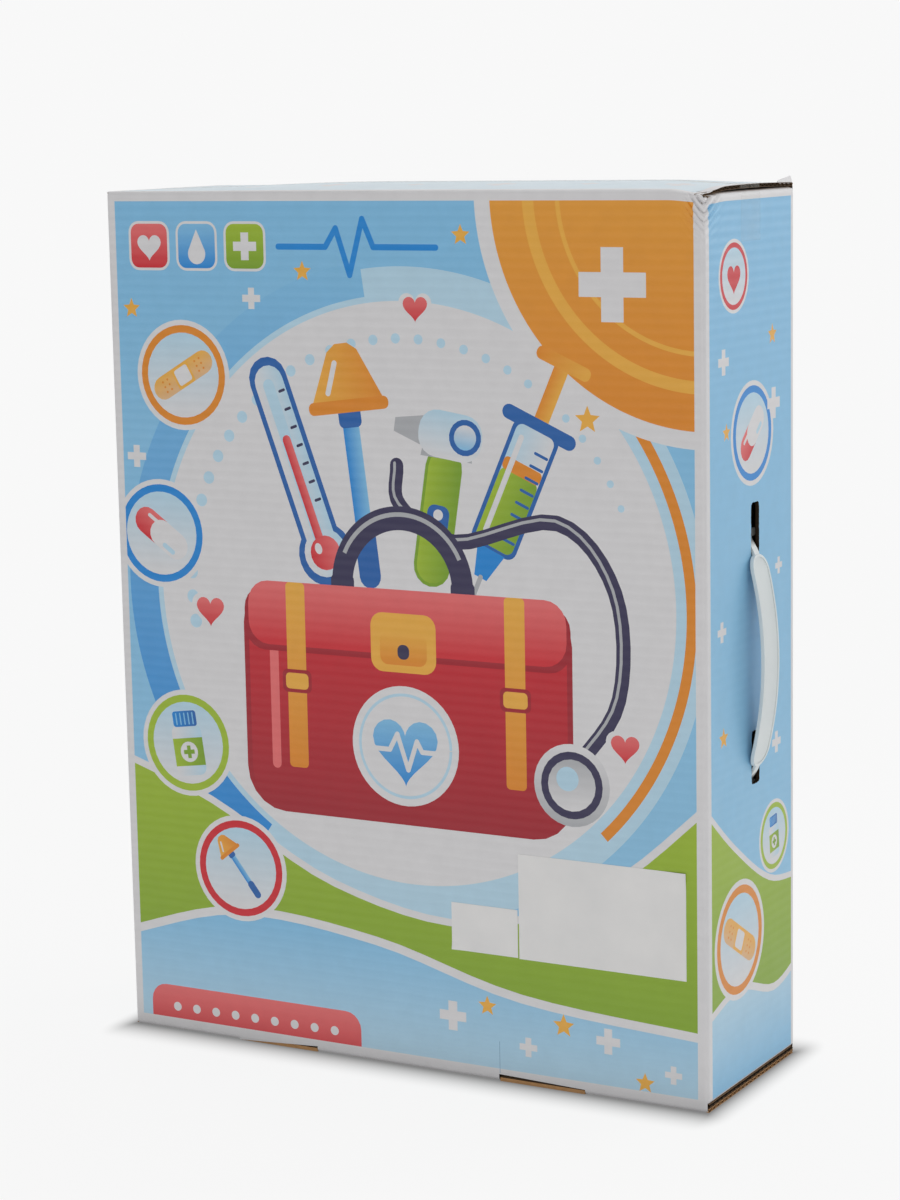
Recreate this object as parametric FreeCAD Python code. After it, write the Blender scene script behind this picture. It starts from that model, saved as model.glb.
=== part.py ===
import FreeCAD, Part
import math
import os

# Carry carton of a toy doctor set: a tall, flat case folded from one printed sheet of corrugated
# board, with a moulded strap handle on its right side.
# Millimetres. +Z is up, the front faces -Y, and the origin is the middle of the base it stands on.

Vector = FreeCAD.Vector
X_AXIS = Vector(1, 0, 0)
Y_AXIS = Vector(0, 1, 0)
Z_AXIS = Vector(0, 0, 1)

# Closed case, outside
CASE_WIDTH = 440.0
CASE_DEPTH = 140.0
CASE_HEIGHT = 580.0

# Corrugated board: two liners with a waved sheet between them
BOARD = 2.5
LINER = 0.4
WAVE_PAPER = 0.3
WAVE_PITCH = 6.5
WAVE_FLANK_SHARE = 0.43
WAVE_CREST_SHARE = 0.2

# Folds, and the air left round the flaps
CREASE_RADIUS = 2.6
CREASE_CLEARANCE = 0.15
PLY_GAP = 0.2
FLAP_END_INSET = 0.6
TOP_SEAM = 1.2
BOTTOM_EDGE_INSET = 0.8

# Dust flaps, which fold in from the two sides and are bevelled to clear the long flaps
DUST_FLAP_LENGTH = 66.0
DUST_FLAP_SIDE_GAP = 1.0
DUST_FLAP_BEVEL_SHARE = 0.42

# Glued seam of the sleeve, inside the back left corner
GLUE_FLAP_WIDTH = 35.0
GLUE_FLAP_END_GAP = 6.0

# Two tabs of the inner bottom flap, locked through slots in the front crease
LOCK_TAB_WIDTH = 62.0
LOCK_TAB_OFFSET = 101.5
LOCK_TAB_SETBACK = 0.6
LOCK_SLOT_CLEARANCE = 0.5

# Slots for the handle in the right side, one above and one below its middle, and a little behind it
HANDLE_SLOT_LENGTH = 34.0
HANDLE_SLOT_WIDTH = 12.0
HANDLE_SLOT_CORNER = 4.0
HANDLE_SLOT_SPACING = 147.5
HANDLE_SLOT_SHIFT = 6.0

# Strap handle: a bowed grip with a raised rim. Each end dives through its slot, along the slot's front
# edge, and widens to a head.
STRAP_THICKNESS = 1.8
GRIP_WIDTH = 24.0
GRIP_BOW = 11.0
GRIP_CLEARANCE = 0.5
GRIP_CORNER = 11.0
GRIP_RIM_WIDTH = 1.8
GRIP_RIM_HEIGHT = 0.5
NECK_WIDTH = 7.0
NECK_SIDE_CLEARANCE = 0.5
NECK_SLOPE = math.radians(32)
NECK_BEND_RADIUS = 14.0
NECK_SEAT_CLEARANCE = 0.3
HEAD_BEND_RADIUS = 6.0
HEAD_WIDTH = 22.0
HEAD_LENGTH = 5.0
HEAD_CORNER = 2.0
HEAD_CLEARANCE = 0.4

# Clear tape, slit along the top seam, with a tail down each side
TAPE_WIDTH = 30.0
TAPE_THICKNESS = 0.1
TAPE_TAIL_LENGTH = 34.0

# Two blank paper labels on the front
LABEL_THICKNESS = 0.2
LARGE_LABEL_WIDTH = 119.0
LARGE_LABEL_HEIGHT = 70.0
LARGE_LABEL_RIGHT_MARGIN = 14.5
LARGE_LABEL_BASE = 85.0
SMALL_LABEL_WIDTH = 49.0
SMALL_LABEL_HEIGHT = 32.0
SMALL_LABEL_BASE = 85.5
LABEL_SPACING = 1.0

# How far a cutting solid runs past what it cuts
OVERRUN = 5.0

# How many stations of the strap its wide grip takes up, and the bulge below which a stretch of it is straight
GRIP_STATIONS = 3
FLAT_SHARE = 1e-6

# Planes, levels and runs that the pieces share
HALF_WIDTH = CASE_WIDTH / 2
HALF_DEPTH = CASE_DEPTH / 2
INNER_BOTTOM_LEVEL = BOARD + PLY_GAP
DUST_BOTTOM_LEVEL = 2 * (BOARD + PLY_GAP)
DUST_TOP_LEVEL = CASE_HEIGHT - BOARD - PLY_GAP
FLAP_RUN = CASE_WIDTH - 2 * FLAP_END_INSET
DUST_FLAP_RUN = CASE_DEPTH - 2 * (BOARD + DUST_FLAP_SIDE_GAP)
STRAP_SHIFT = HANDLE_SLOT_SHIFT - (HANDLE_SLOT_WIDTH - NECK_WIDTH) / 2 + NECK_SIDE_CLEARANCE

EIGHTH_TURN = math.radians(45)
QUARTER_TURN = math.radians(90)


# Lines, arcs and simple solids

def line(start, end):
    return Part.LineSegment(start, end).toShape()


def arc(start, middle, end):
    return Part.Arc(start, middle, end).toShape()


def closed_face(edges):
    return Part.Face(Part.Wire(edges))


def block(x_range, y_range, z_range):
    sizes = [high - low for low, high in (x_range, y_range, z_range)]
    return Part.makeBox(*sizes, Vector(x_range[0], y_range[0], z_range[0]))


def rounded_block(x_range, width, z_range, corner):
    """A block centred on y = 0 with rounded corners as seen along X."""
    shape = block(x_range, (-width / 2, width / 2), z_range)
    return shape.makeFillet(corner, [edge for edge in shape.Edges if runs_along_x(edge)])


def runs_along_x(edge):
    ends = [vertex.Point for vertex in edge.Vertexes]
    return (ends[1] - ends[0]).cross(X_AXIS).Length < edge.Length / 2


# Corrugated board

class Section:
    """A drawing plane across a board: a runs along the board, b goes inwards from its outer face."""

    def __init__(self, origin, along, inward):
        self.origin = origin
        self.along = along
        self.inward = inward

    def at(self, a, b):
        return self.origin + self.along * a + self.inward * b


def crease_points(section, corner_a, direction):
    """Half of a rounded crease: its end at the mitre, its middle, and where the flat outer face starts."""
    points = []
    for turn in (EIGHTH_TURN, (EIGHTH_TURN + QUARTER_TURN) / 2, QUARTER_TURN):
        a = CREASE_RADIUS * (1 - math.cos(turn))
        b = CREASE_RADIUS * (1 - math.sin(turn))
        points.append(section.at(corner_a + direction * a, b))
    return points


def board_outline(section, start, end, end_folds):
    """A board's closed outline: rounded and mitred where it folds, and cut square at an end that doesn't."""
    start_mitre, start_middle, start_flat = crease_points(section, start, 1)
    start_inner = section.at(start + BOARD, BOARD)
    edges = [line(start_inner, start_mitre), arc(start_mitre, start_middle, start_flat)]
    if end_folds:
        end_mitre, end_middle, end_flat = crease_points(section, end, -1)
        end_inner = section.at(end - BOARD, BOARD)
        edges += [line(start_flat, end_flat), arc(end_flat, end_middle, end_mitre), line(end_mitre, end_inner)]
    else:
        end_outer = section.at(end, 0)
        end_inner = section.at(end, BOARD)
        edges += [line(start_flat, end_outer), line(end_outer, end_inner)]
    return Part.Wire(edges + [line(end_inner, start_inner)])


def wave_hollow(section, middle, base, direction):
    """One hollow beside the waved sheet: flat along a liner, with straight flanks and a rounded crest.

    Neighbouring hollows have parallel flanks, and the base is as wide as leaves the sheet its thickness.
    """
    half_pitch = WAVE_PITCH / 2
    inside = BOARD - 2 * LINER
    height = inside - WAVE_PAPER
    flank_height = height * (1 - WAVE_CREST_SHARE)
    flank_width = half_pitch * WAVE_FLANK_SHARE
    sheet_width = WAVE_PAPER * math.hypot(flank_height, flank_width) / flank_height
    half_base = (half_pitch + inside * flank_width / flank_height - sheet_width) / 2
    half_crest = half_base - flank_width

    def at(a, rise):
        return section.at(middle + a, base + direction * rise)

    left, right = at(-half_base, 0), at(half_base, 0)
    left_shoulder, right_shoulder = at(-half_crest, flank_height), at(half_crest, flank_height)
    crest = arc(right_shoulder, at(0, height), left_shoulder)
    return Part.Wire([line(left, right), line(right, right_shoulder), crest, line(left_shoulder, left)])


def wave_hollows(section, start, end):
    """The hollows between two places along a board. They lie on its outer and its inner liner by turns."""
    half_pitch = WAVE_PITCH / 2
    liners = [(LINER, 1), (BOARD - LINER, -1)]
    count = int((end - start) / half_pitch) - 1
    return [wave_hollow(section, start + half_pitch * (n + 1), *liners[n % len(liners)]) for n in range(count)]


def flap(section, start, end, sweep):
    """A flap that folds at its start, with the waved sheet open to view at its two cut ends."""
    outline = board_outline(section, start, end, end_folds=False)
    hollows = wave_hollows(section, start + BOARD, end - LINER)
    return Part.makeFace([outline] + hollows, "Part::FaceMakerCheese").extrude(sweep)


def wall(corner, along, inward, length, low, high):
    """A wall of the sleeve. It folds along all four edges, so it is what its two sections have in common."""
    plan = Section(corner, along, inward)
    upright = Section(corner, Z_AXIS, inward)
    plan_face = Part.Face(board_outline(plan, 0, length, end_folds=True))
    upright_face = Part.Face(board_outline(upright, low, high, end_folds=True))
    return plan_face.extrude(Z_AXIS * CASE_HEIGHT).common(upright_face.extrude(along * length))


# Sleeve: four walls and the glued seam

def front_panel():
    corner = Vector(-HALF_WIDTH, -HALF_DEPTH, 0)
    panel = wall(corner, X_AXIS, Y_AXIS, CASE_WIDTH, 0, CASE_HEIGHT)
    return panel.cut([lock_slot(side) for side in (-1, 1)])


def back_panel():
    corner = Vector(HALF_WIDTH, HALF_DEPTH, 0)
    return wall(corner, -X_AXIS, -Y_AXIS, CASE_WIDTH, INNER_BOTTOM_LEVEL, CASE_HEIGHT)


def side_panel(side):
    """The left (-1) or right (1) wall. It ends below the long flaps, where its dust flaps fold in."""
    corner = Vector(side * HALF_WIDTH, -HALF_DEPTH, 0)
    return wall(corner, Y_AXIS, X_AXIS * -side, CASE_DEPTH, DUST_BOTTOM_LEVEL, DUST_TOP_LEVEL)


def right_side_panel():
    return side_panel(1).cut([handle_slot(middle) for middle in handle_slot_middles()])


def glue_flap():
    inner_x = -HALF_WIDTH + BOARD
    inner_y = HALF_DEPTH - BOARD
    low = DUST_BOTTOM_LEVEL + BOARD + GLUE_FLAP_END_GAP
    high = DUST_TOP_LEVEL - BOARD - GLUE_FLAP_END_GAP
    return block((inner_x, inner_x + GLUE_FLAP_WIDTH), (inner_y - BOARD, inner_y), (low, high))


# Top: two long flaps that meet at a taped seam, over two dust flaps

def top_long_flap(side):
    """The front (-1) or back (1) long flap."""
    hinge = Vector(-HALF_WIDTH + FLAP_END_INSET, side * HALF_DEPTH, CASE_HEIGHT)
    section = Section(hinge, Y_AXIS * -side, -Z_AXIS)
    return flap(section, CREASE_CLEARANCE, HALF_DEPTH - TOP_SEAM / 2, X_AXIS * FLAP_RUN)


def dust_flap(side, level, inward, crease_clearance):
    """A dust flap of the left (-1) or right (1) wall, which narrows from its fold to its end."""
    hinge = Vector(side * HALF_WIDTH, -DUST_FLAP_RUN / 2, level)
    section = Section(hinge, X_AXIS * -side, inward)
    board = flap(section, crease_clearance, DUST_FLAP_LENGTH, Y_AXIS * DUST_FLAP_RUN)
    return board.cut([dust_flap_bevel(side, edge, level) for edge in (-1, 1)])


def dust_flap_bevel(side, edge, level):
    """What the bevel takes off the front (-1) or back (1) edge of a dust flap."""
    reach = DUST_FLAP_LENGTH + OVERRUN
    fold_x = side * HALF_WIDTH
    past_x = fold_x - side * reach
    edge_y = edge * DUST_FLAP_RUN / 2
    bevel_y = edge_y - edge * reach * DUST_FLAP_BEVEL_SHARE
    past_y = edge_y + edge * OVERRUN
    low = level - BOARD - OVERRUN
    corners = [(fold_x, edge_y), (past_x, bevel_y), (past_x, past_y), (fold_x, past_y), (fold_x, edge_y)]
    outline = Part.makePolygon([Vector(x, y, low) for x, y in corners])
    return Part.Face(outline).extrude(Z_AXIS * 2 * (BOARD + OVERRUN))


def top_dust_flap(side):
    return dust_flap(side, DUST_TOP_LEVEL, -Z_AXIS, CREASE_CLEARANCE)


# Bottom: an outer flap from the front, an inner flap from the back that locks into its fold, and dust flaps

def lock_range(side, clearance):
    """Where the left (-1) or right (1) lock tab lies along the front, with a clearance on both sides."""
    middle = side * LOCK_TAB_OFFSET
    half = LOCK_TAB_WIDTH / 2 + clearance
    return middle - half, middle + half


def lock_slot(side):
    y_range = (-HALF_DEPTH - OVERRUN, -HALF_DEPTH + BOARD + OVERRUN)
    z_range = (-OVERRUN, INNER_BOTTOM_LEVEL + BOARD + LOCK_SLOT_CLEARANCE)
    return block(lock_range(side, LOCK_SLOT_CLEARANCE), y_range, z_range)


def bottom_outer_flap():
    """The flap that the case stands on. Its fold is cut through below the lock tabs."""
    hinge = Vector(-HALF_WIDTH + FLAP_END_INSET, -HALF_DEPTH, 0)
    board = flap(Section(hinge, Y_AXIS, Z_AXIS), 0, CASE_DEPTH - BOTTOM_EDGE_INSET, X_AXIS * FLAP_RUN)
    cut_y = -HALF_DEPTH + LOCK_TAB_SETBACK
    past_y = -HALF_DEPTH - OVERRUN
    sides = (-1, 1)
    notches = [block(lock_range(side, LOCK_SLOT_CLEARANCE), (past_y, cut_y), (-OVERRUN, BOARD)) for side in sides]
    lips = [block(lock_range(side, 0), (cut_y, -HALF_DEPTH + BOARD), (0, BOARD)) for side in sides]
    return board.cut(notches).fuse(lips).removeSplitter()


def bottom_inner_flap():
    hinge = Vector(-HALF_WIDTH + FLAP_END_INSET, HALF_DEPTH, INNER_BOTTOM_LEVEL)
    length = CASE_DEPTH - BOARD - LOCK_SLOT_CLEARANCE
    board = flap(Section(hinge, -Y_AXIS, Z_AXIS), 0, length, X_AXIS * FLAP_RUN)
    y_range = (-HALF_DEPTH + LOCK_TAB_SETBACK, HALF_DEPTH - length)
    z_range = (INNER_BOTTOM_LEVEL, INNER_BOTTOM_LEVEL + BOARD)
    tabs = [block(lock_range(side, 0), y_range, z_range) for side in (-1, 1)]
    return board.fuse(tabs).removeSplitter()


def bottom_dust_flap(side):
    return dust_flap(side, DUST_BOTTOM_LEVEL, Z_AXIS, 0)


# Strap handle and its slots

def handle_slot_middles():
    middle = CASE_HEIGHT / 2
    return middle - HANDLE_SLOT_SPACING / 2, middle + HANDLE_SLOT_SPACING / 2


def handle_slot(middle):
    x_range = (HALF_WIDTH - BOARD - OVERRUN, HALF_WIDTH + OVERRUN)
    z_range = (middle - HANDLE_SLOT_LENGTH / 2, middle + HANDLE_SLOT_LENGTH / 2)
    slot = rounded_block(x_range, HANDLE_SLOT_WIDTH, z_range, HANDLE_SLOT_CORNER)
    return slot.translated(Y_AXIS * HANDLE_SLOT_SHIFT)


def turn_step(radius, from_slope, to_slope):
    """The way along an arc of the strap, upwards. A negative radius bends it back the other way."""
    rise = radius * (math.sin(to_slope) - math.sin(from_slope))
    inward = radius * (math.cos(from_slope) - math.cos(to_slope))
    return Vector(-inward, 0, rise)


class Strap:
    """The strap's middle line in the XZ plane, from the middle of the grip up to the end of the upper head.

    Slopes are measured from the upright board. The strap leaves the middle of the grip upright, bows in to
    the board, bends a little more, dives through the slot at NECK_SLOPE, and turns upright behind the board.
    """

    SOLVE_PASSES = 30

    def __init__(self):
        half = STRAP_THICKNESS / 2
        dive = NECK_BEND_RADIUS * math.sin(NECK_SLOPE)
        self.end_slope = NECK_SLOPE / 2
        # The wide grip ends just clear of the board. How far off that puts the neck depends on the grip's
        # end slope, and the other way round, so the two are worked out together.
        for _ in range(self.SOLVE_PASSES):
            bend_in = NECK_BEND_RADIUS * (math.cos(self.end_slope) - math.cos(NECK_SLOPE))
            self.neck_offset = GRIP_CLEARANCE + half * math.cos(self.end_slope) - bend_in
            bow = GRIP_BOW - self.neck_offset - NECK_BEND_RADIUS * (1 - math.cos(NECK_SLOPE))
            rise = HANDLE_SLOT_SPACING / 2 - (BOARD / 2 + self.neck_offset) / math.tan(NECK_SLOPE) - dive
            self.end_slope = 2 * math.atan(bow / rise)
        self.grip_radius = rise / math.sin(self.end_slope) + NECK_BEND_RADIUS
        self.middle = Vector(HALF_WIDTH + GRIP_BOW, 0, sum(self.neck_middles()) / 2)
        self.stations = self.trace()

    def neck_reach(self):
        """Half of the slot's length that a neck takes up, on either side of its middle."""
        half = STRAP_THICKNESS / 2
        straight = BOARD / 2 / math.tan(NECK_SLOPE) + half / math.sin(NECK_SLOPE)
        bend_share = (NECK_BEND_RADIUS * math.cos(NECK_SLOPE) - self.neck_offset) / (NECK_BEND_RADIUS - half)
        bend_slope = math.acos(min(1, bend_share))
        bend_drop = NECK_BEND_RADIUS * math.sin(NECK_SLOPE) - (NECK_BEND_RADIUS - half) * math.sin(bend_slope)
        bent = (BOARD / 2 + self.neck_offset) / math.tan(NECK_SLOPE) + bend_drop
        return max(straight, bent)

    def seat_height(self):
        """A neck's middle above the foot of its slot, where the slot's rounded corners stop it."""
        corner_reach = max(0, HANDLE_SLOT_CORNER - NECK_SIDE_CLEARANCE)
        corner_rise = HANDLE_SLOT_CORNER - math.sqrt(HANDLE_SLOT_CORNER**2 - corner_reach**2)
        return self.neck_reach() + corner_rise + NECK_SEAT_CLEARANCE

    def neck_middles(self):
        """The heights of the two necks: the strap has slid down, so both rest at the foot of their slots."""
        return [middle - HANDLE_SLOT_LENGTH / 2 + self.seat_height() for middle in handle_slot_middles()]

    def travel(self):
        return HANDLE_SLOT_LENGTH - 2 * self.seat_height()

    def trace(self):
        """Points and slopes along the upper half. Every second one is the middle of an arc."""
        head_x = HALF_WIDTH - BOARD - HEAD_CLEARANCE - STRAP_THICKNESS / 2
        stations = [(self.middle, 0)]

        def turn(radius, to_slope):
            point, slope = stations[-1]
            for next_slope in ((slope + to_slope) / 2, to_slope):
                stations.append((point + turn_step(radius, slope, next_slope), next_slope))

        turn(self.grip_radius, self.end_slope)
        turn(NECK_BEND_RADIUS, NECK_SLOPE)
        point, slope = stations[-1]
        inward = point.x - head_x - HEAD_BEND_RADIUS * (1 - math.cos(NECK_SLOPE))
        for part_share in (1 / 2, 1):
            stations.append((point + Vector(-inward, 0, inward / math.tan(slope)) * part_share, slope))
        turn(-HEAD_BEND_RADIUS, 0)
        point, slope = stations[-1]
        for part_share in (1 / 2, 1):
            stations.append((point + Z_AXIS * HEAD_LENGTH * part_share, slope))
        return stations

    def edge_points(self, offset, count):
        """The first stations, moved outwards by an offset, square to the strap."""
        return [point + Vector(math.cos(slope), 0, math.sin(slope)) * offset
                for point, slope in self.stations[:count]]

    def band(self, inner, outer, count):
        """The whole strip between two offsets, over the first stations of each half, as wide as the grip."""
        inside = self.edge_points(inner, count)
        outside = self.edge_points(outer, count)
        edges = [line(inside[0], outside[0]), line(outside[-1], inside[-1])]
        for points in (inside, outside):
            for first in range(0, count - 1, 2):
                edges.append(stretch(*points[first:first + 3]))
        face = closed_face(Part.__sortEdges__(edges))
        face.translate(Y_AXIS * -GRIP_WIDTH / 2)
        upper = face.extrude(Y_AXIS * GRIP_WIDTH)
        return upper.fuse(upper.mirror(self.middle, Z_AXIS))


def stretch(start, middle, end):
    """An arc through three points, or a straight line where they lie in a row."""
    bulge = (middle - start).cross(end - start).Length
    return arc(start, middle, end) if bulge > FLAT_SHARE * (end - start).Length ** 2 else line(start, end)


def carry_handle():
    strap = Strap()
    half = STRAP_THICKNESS / 2
    middle_z = strap.middle.z
    grip_reach = strap.stations[GRIP_STATIONS - 1][0].z - middle_z
    tip_reach = strap.stations[-1][0].z - middle_z
    x_range = (HALF_WIDTH - BOARD - HEAD_CLEARANCE - STRAP_THICKNESS - OVERRUN, strap.middle.x + OVERRUN)

    def outline(width, low, high, corner):
        return rounded_block(x_range, width, (middle_z + low, middle_z + high), corner)

    grip = outline(GRIP_WIDTH, -grip_reach, grip_reach, GRIP_CORNER)
    inside_reach = grip_reach - GRIP_RIM_WIDTH
    inside = outline(GRIP_WIDTH - 2 * GRIP_RIM_WIDTH, -inside_reach, inside_reach, GRIP_CORNER - GRIP_RIM_WIDTH)
    neck = block(x_range, (-NECK_WIDTH / 2, NECK_WIDTH / 2), (middle_z - tip_reach, middle_z + tip_reach))
    heads = [outline(HEAD_WIDTH, tip_reach - HEAD_LENGTH, tip_reach, HEAD_CORNER),
             outline(HEAD_WIDTH, -tip_reach, HEAD_LENGTH - tip_reach, HEAD_CORNER)]
    strip = strap.band(-half, half, len(strap.stations)).common(grip.fuse([neck] + heads))
    rim = strap.band(half, half + GRIP_RIM_HEIGHT, GRIP_STATIONS).common(grip).cut(inside)
    return strip.fuse(rim).removeSplitter().translated(Y_AXIS * STRAP_SHIFT)


# Tape and labels

def tape_half(side):
    """One half of the seam's tape, along the front (-1) or back (1) flap and down over its two cut ends."""
    y_range = sorted((side * TOP_SEAM / 2, side * TAPE_WIDTH / 2))
    reach = FLAP_RUN / 2
    outer_reach = reach + TAPE_THICKNESS
    bend = block((-outer_reach, outer_reach), y_range, (CASE_HEIGHT - BOARD, CASE_HEIGHT + TAPE_THICKNESS))
    return bend.cut(block((-reach, reach), y_range, (CASE_HEIGHT - BOARD, CASE_HEIGHT)))


def tape_tails():
    """The tape's two ends, below the folds of the dust flaps."""
    tails = []
    for side in (-1, 1):
        x_range = sorted((side * HALF_WIDTH, side * (HALF_WIDTH + TAPE_THICKNESS)))
        z_range = (CASE_HEIGHT - TAPE_TAIL_LENGTH, DUST_TOP_LEVEL)
        tails.append(block(x_range, (-TAPE_WIDTH / 2, TAPE_WIDTH / 2), z_range))
    return Part.makeCompound(tails)


def front_label(right, base, width, height):
    return block((right - width, right), (-HALF_DEPTH - LABEL_THICKNESS, -HALF_DEPTH), (base, base + height))


def large_label():
    right = HALF_WIDTH - LARGE_LABEL_RIGHT_MARGIN
    return front_label(right, LARGE_LABEL_BASE, LARGE_LABEL_WIDTH, LARGE_LABEL_HEIGHT)


def small_label():
    right = HALF_WIDTH - LARGE_LABEL_RIGHT_MARGIN - LARGE_LABEL_WIDTH - LABEL_SPACING
    return front_label(right, SMALL_LABEL_BASE, SMALL_LABEL_WIDTH, SMALL_LABEL_HEIGHT)


def main():
    pieces = {
        "front_panel": front_panel(),
        "back_panel": back_panel(),
        "left_side_panel": side_panel(-1),
        "right_side_panel": right_side_panel(),
        "glue_flap": glue_flap(),
        "top_front_flap": top_long_flap(-1),
        "top_back_flap": top_long_flap(1),
        "top_left_dust_flap": top_dust_flap(-1),
        "top_right_dust_flap": top_dust_flap(1),
        "bottom_outer_flap": bottom_outer_flap(),
        "bottom_inner_flap": bottom_inner_flap(),
        "bottom_left_dust_flap": bottom_dust_flap(-1),
        "bottom_right_dust_flap": bottom_dust_flap(1),
        "carry_handle": carry_handle(),
        "seam_tape_front": tape_half(-1),
        "seam_tape_back": tape_half(1),
        "seam_tape_tails": tape_tails(),
        "large_blank_label": large_label(),
        "small_blank_label": small_label(),
    }
    os.makedirs("parts", exist_ok=True)
    for name, shape in pieces.items():
        shape.exportStep(f"parts/{name}.step")
        print(f"{name}: {len(shape.Solids)} solid, {shape.Volume:.0f} mm3, valid {shape.isValid()}")
    print(f"handle travel {Strap().travel():.2f} mm")


main()
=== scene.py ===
import math

import bmesh
import bpy
import numpy
from mathutils import Matrix, Vector, noise
from mathutils.geometry import delaunay_2d_cdt


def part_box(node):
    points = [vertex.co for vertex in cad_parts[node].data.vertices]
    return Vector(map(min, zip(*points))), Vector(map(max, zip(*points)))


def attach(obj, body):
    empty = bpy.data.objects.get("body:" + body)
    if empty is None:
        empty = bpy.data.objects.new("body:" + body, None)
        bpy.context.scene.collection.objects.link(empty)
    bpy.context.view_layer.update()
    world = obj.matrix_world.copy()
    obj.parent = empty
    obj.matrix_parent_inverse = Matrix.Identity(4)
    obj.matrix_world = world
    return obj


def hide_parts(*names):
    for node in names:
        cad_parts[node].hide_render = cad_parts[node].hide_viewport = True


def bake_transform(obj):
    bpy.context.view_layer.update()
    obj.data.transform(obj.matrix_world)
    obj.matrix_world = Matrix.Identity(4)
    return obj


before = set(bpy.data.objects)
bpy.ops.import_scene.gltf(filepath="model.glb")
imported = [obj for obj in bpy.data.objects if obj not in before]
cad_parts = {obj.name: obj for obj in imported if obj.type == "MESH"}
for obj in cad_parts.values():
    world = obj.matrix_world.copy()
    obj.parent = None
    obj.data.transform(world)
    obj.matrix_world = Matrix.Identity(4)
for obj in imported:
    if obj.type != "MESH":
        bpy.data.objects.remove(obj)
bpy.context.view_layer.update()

# Lengths are in millimetres, and become metres when a mesh is made.
MM = 0.001
X_AXIS = Vector((1, 0, 0))
Y_AXIS = Vector((0, 1, 0))
Z_AXIS = Vector((0, 0, 1))


def extent(node):
    """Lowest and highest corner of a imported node."""
    low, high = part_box(node)
    return low / MM, high / MM


# The carton, read from the frame
LEFT = extent("left_side_panel")[0].x
RIGHT = extent("right_side_panel")[1].x
FRONT = extent("front_panel")[0].y
BACK = extent("back_panel")[1].y
TOP = extent("top_front_flap")[1].z
FOOT = extent("bottom_outer_flap")[0].z
BACK_FOOT = extent("bottom_inner_flap")[0].z
SIDE_TOP = extent("top_right_dust_flap")[1].z
SIDE_FOOT = extent("bottom_right_dust_flap")[0].z
WIDTH = RIGHT - LEFT
DEPTH = BACK - FRONT
HEIGHT = TOP - FOOT
BACK_HEIGHT = TOP - BACK_FOOT
SIDE_HEIGHT = SIDE_TOP - SIDE_FOOT
BOARD = extent("front_panel")[1].y - FRONT

# Corrugated board: two liners with a waved sheet between them, rolled over at each fold
LINER = 0.4
WAVE_PAPER = 0.3
WAVE_PITCH = 6.5
WAVE_STEPS = 12
WAVE_STATIONS = 48
PLY_GAP = 0.2
CREASE_SLACK = 0.4
CREASE_RADIUS = BOARD + CREASE_SLACK
CREASE_STEPS = 4
CREASE_GUARD = 1.2
CREASE_WALL = 0.6
CREASE_SKIN_REACH = 5.0
CREASE_SKIN_STEP = 2.0
CREASE_SKIN_DEPTHS = (0.12, 0.36)
FOLD_TURN = math.radians(45)
ALL_FOLDS = ("left", "right", "foot", "head")
DUST_BEVEL_SHARE = 0.42
CUT_TOLERANCE = 1e-4
BOARD_SHARP_ANGLE = math.radians(40)

# Lock tabs in the front's bottom fold, with the loose liner's heights over each slot
LOCK_OFFSET = 101.5
LOCK_WIDTH = 62.0
LOCK_SETBACK = 0.6
LOCK_CLEARANCE = 0.5
LOCK_LIPS = ((0.2, 4.0), (4.8, 3.2))
# A thin line of painted shade along a crease at the end of a lock slot
LOCK_CREASE_SHADE_HEIGHT = 27.0
LOCK_CREASE_SHADE_WIDTH = 0.4

# Slots of the strap handle
SLOT_LENGTH = 34.0
SLOT_WIDTH = 12.0
SLOT_SPACING = 147.5
SLOT_SHIFT = 6.0
SLOT_SQUARENESS = 8
SLOT_TEAR = 0.9
SLOT_TEAR_SCALES = (7, 11)
SLOT_POINTS = 120

# Handling damage at the upper right: a pinched front corner with wrinkles, a domed lid and a torn liner
PINCH_REACHES = (25.0, 35.0)
PINCH_DROP = 40.0
PINCH_DEPTH = 3.2
PINCH_SHARE = 0.65
WRINKLE_FRONT_REACH = 18.0
WRINKLE_SIDE_REACH = 34.0
WRINKLE_DROP = 36.0
WRINKLE_PITCH = 5.6
WRINKLE_DEPTH = 2.5
WRINKLE_RISE_SHARES = (1.3, 0.45)
LID_RISE = 3.7
LID_GRID = 12.0
LID_LEFT_REACH = 170.0
LID_RIGHT_REACH = 60.0
LID_RIGHT_SHARE = 0.3
DAMAGE_GRID = 1.0
FLAP_BEND_STEP = 4.0
TORN_LENGTH = 23.6
TORN_INSET = 1.2
TORN_SINK = 0.8
TORN_LEAN_SHARE = 0.3
TORN_OUTLINE = [(0, 0), (TORN_LENGTH, 0), (24.2, 5), (22, 5.2), (3, 2.6), (0, 1.6)]

# Handle, tape and labels
HANDLE_BEVEL = 0.55
HANDLE_BEVEL_STEPS = 3
HANDLE_BEVEL_ANGLE = math.radians(35)
HANDLE_FLAT_ANGLE = math.radians(1)
HANDLE_SHARP_ANGLE = math.radians(50)
MERGE_DISTANCE = 0.001
TAPE_RIPPLE = 0.05
TAPE_RIPPLE_PITCH = 15.0
TAPE_STEPS = 160
TAPE_COLUMNS = 10
TAPE_TAIL_STEPS = 24
LABEL_STEPS = 24
LABEL_CURL = 0.7
LABEL_CURL_SHARE = 0.82

# Unprinted margins at a board's head, left, right and foot
LARGE_MARGINS = (6.5, 7.0, 7.0, 8.6)
SIDE_MARGINS = (5.5, 7.0, 5.6, 2.0)
FLAP_MARGINS = (3.0, 7.0, 7.0, 5.0)

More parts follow.
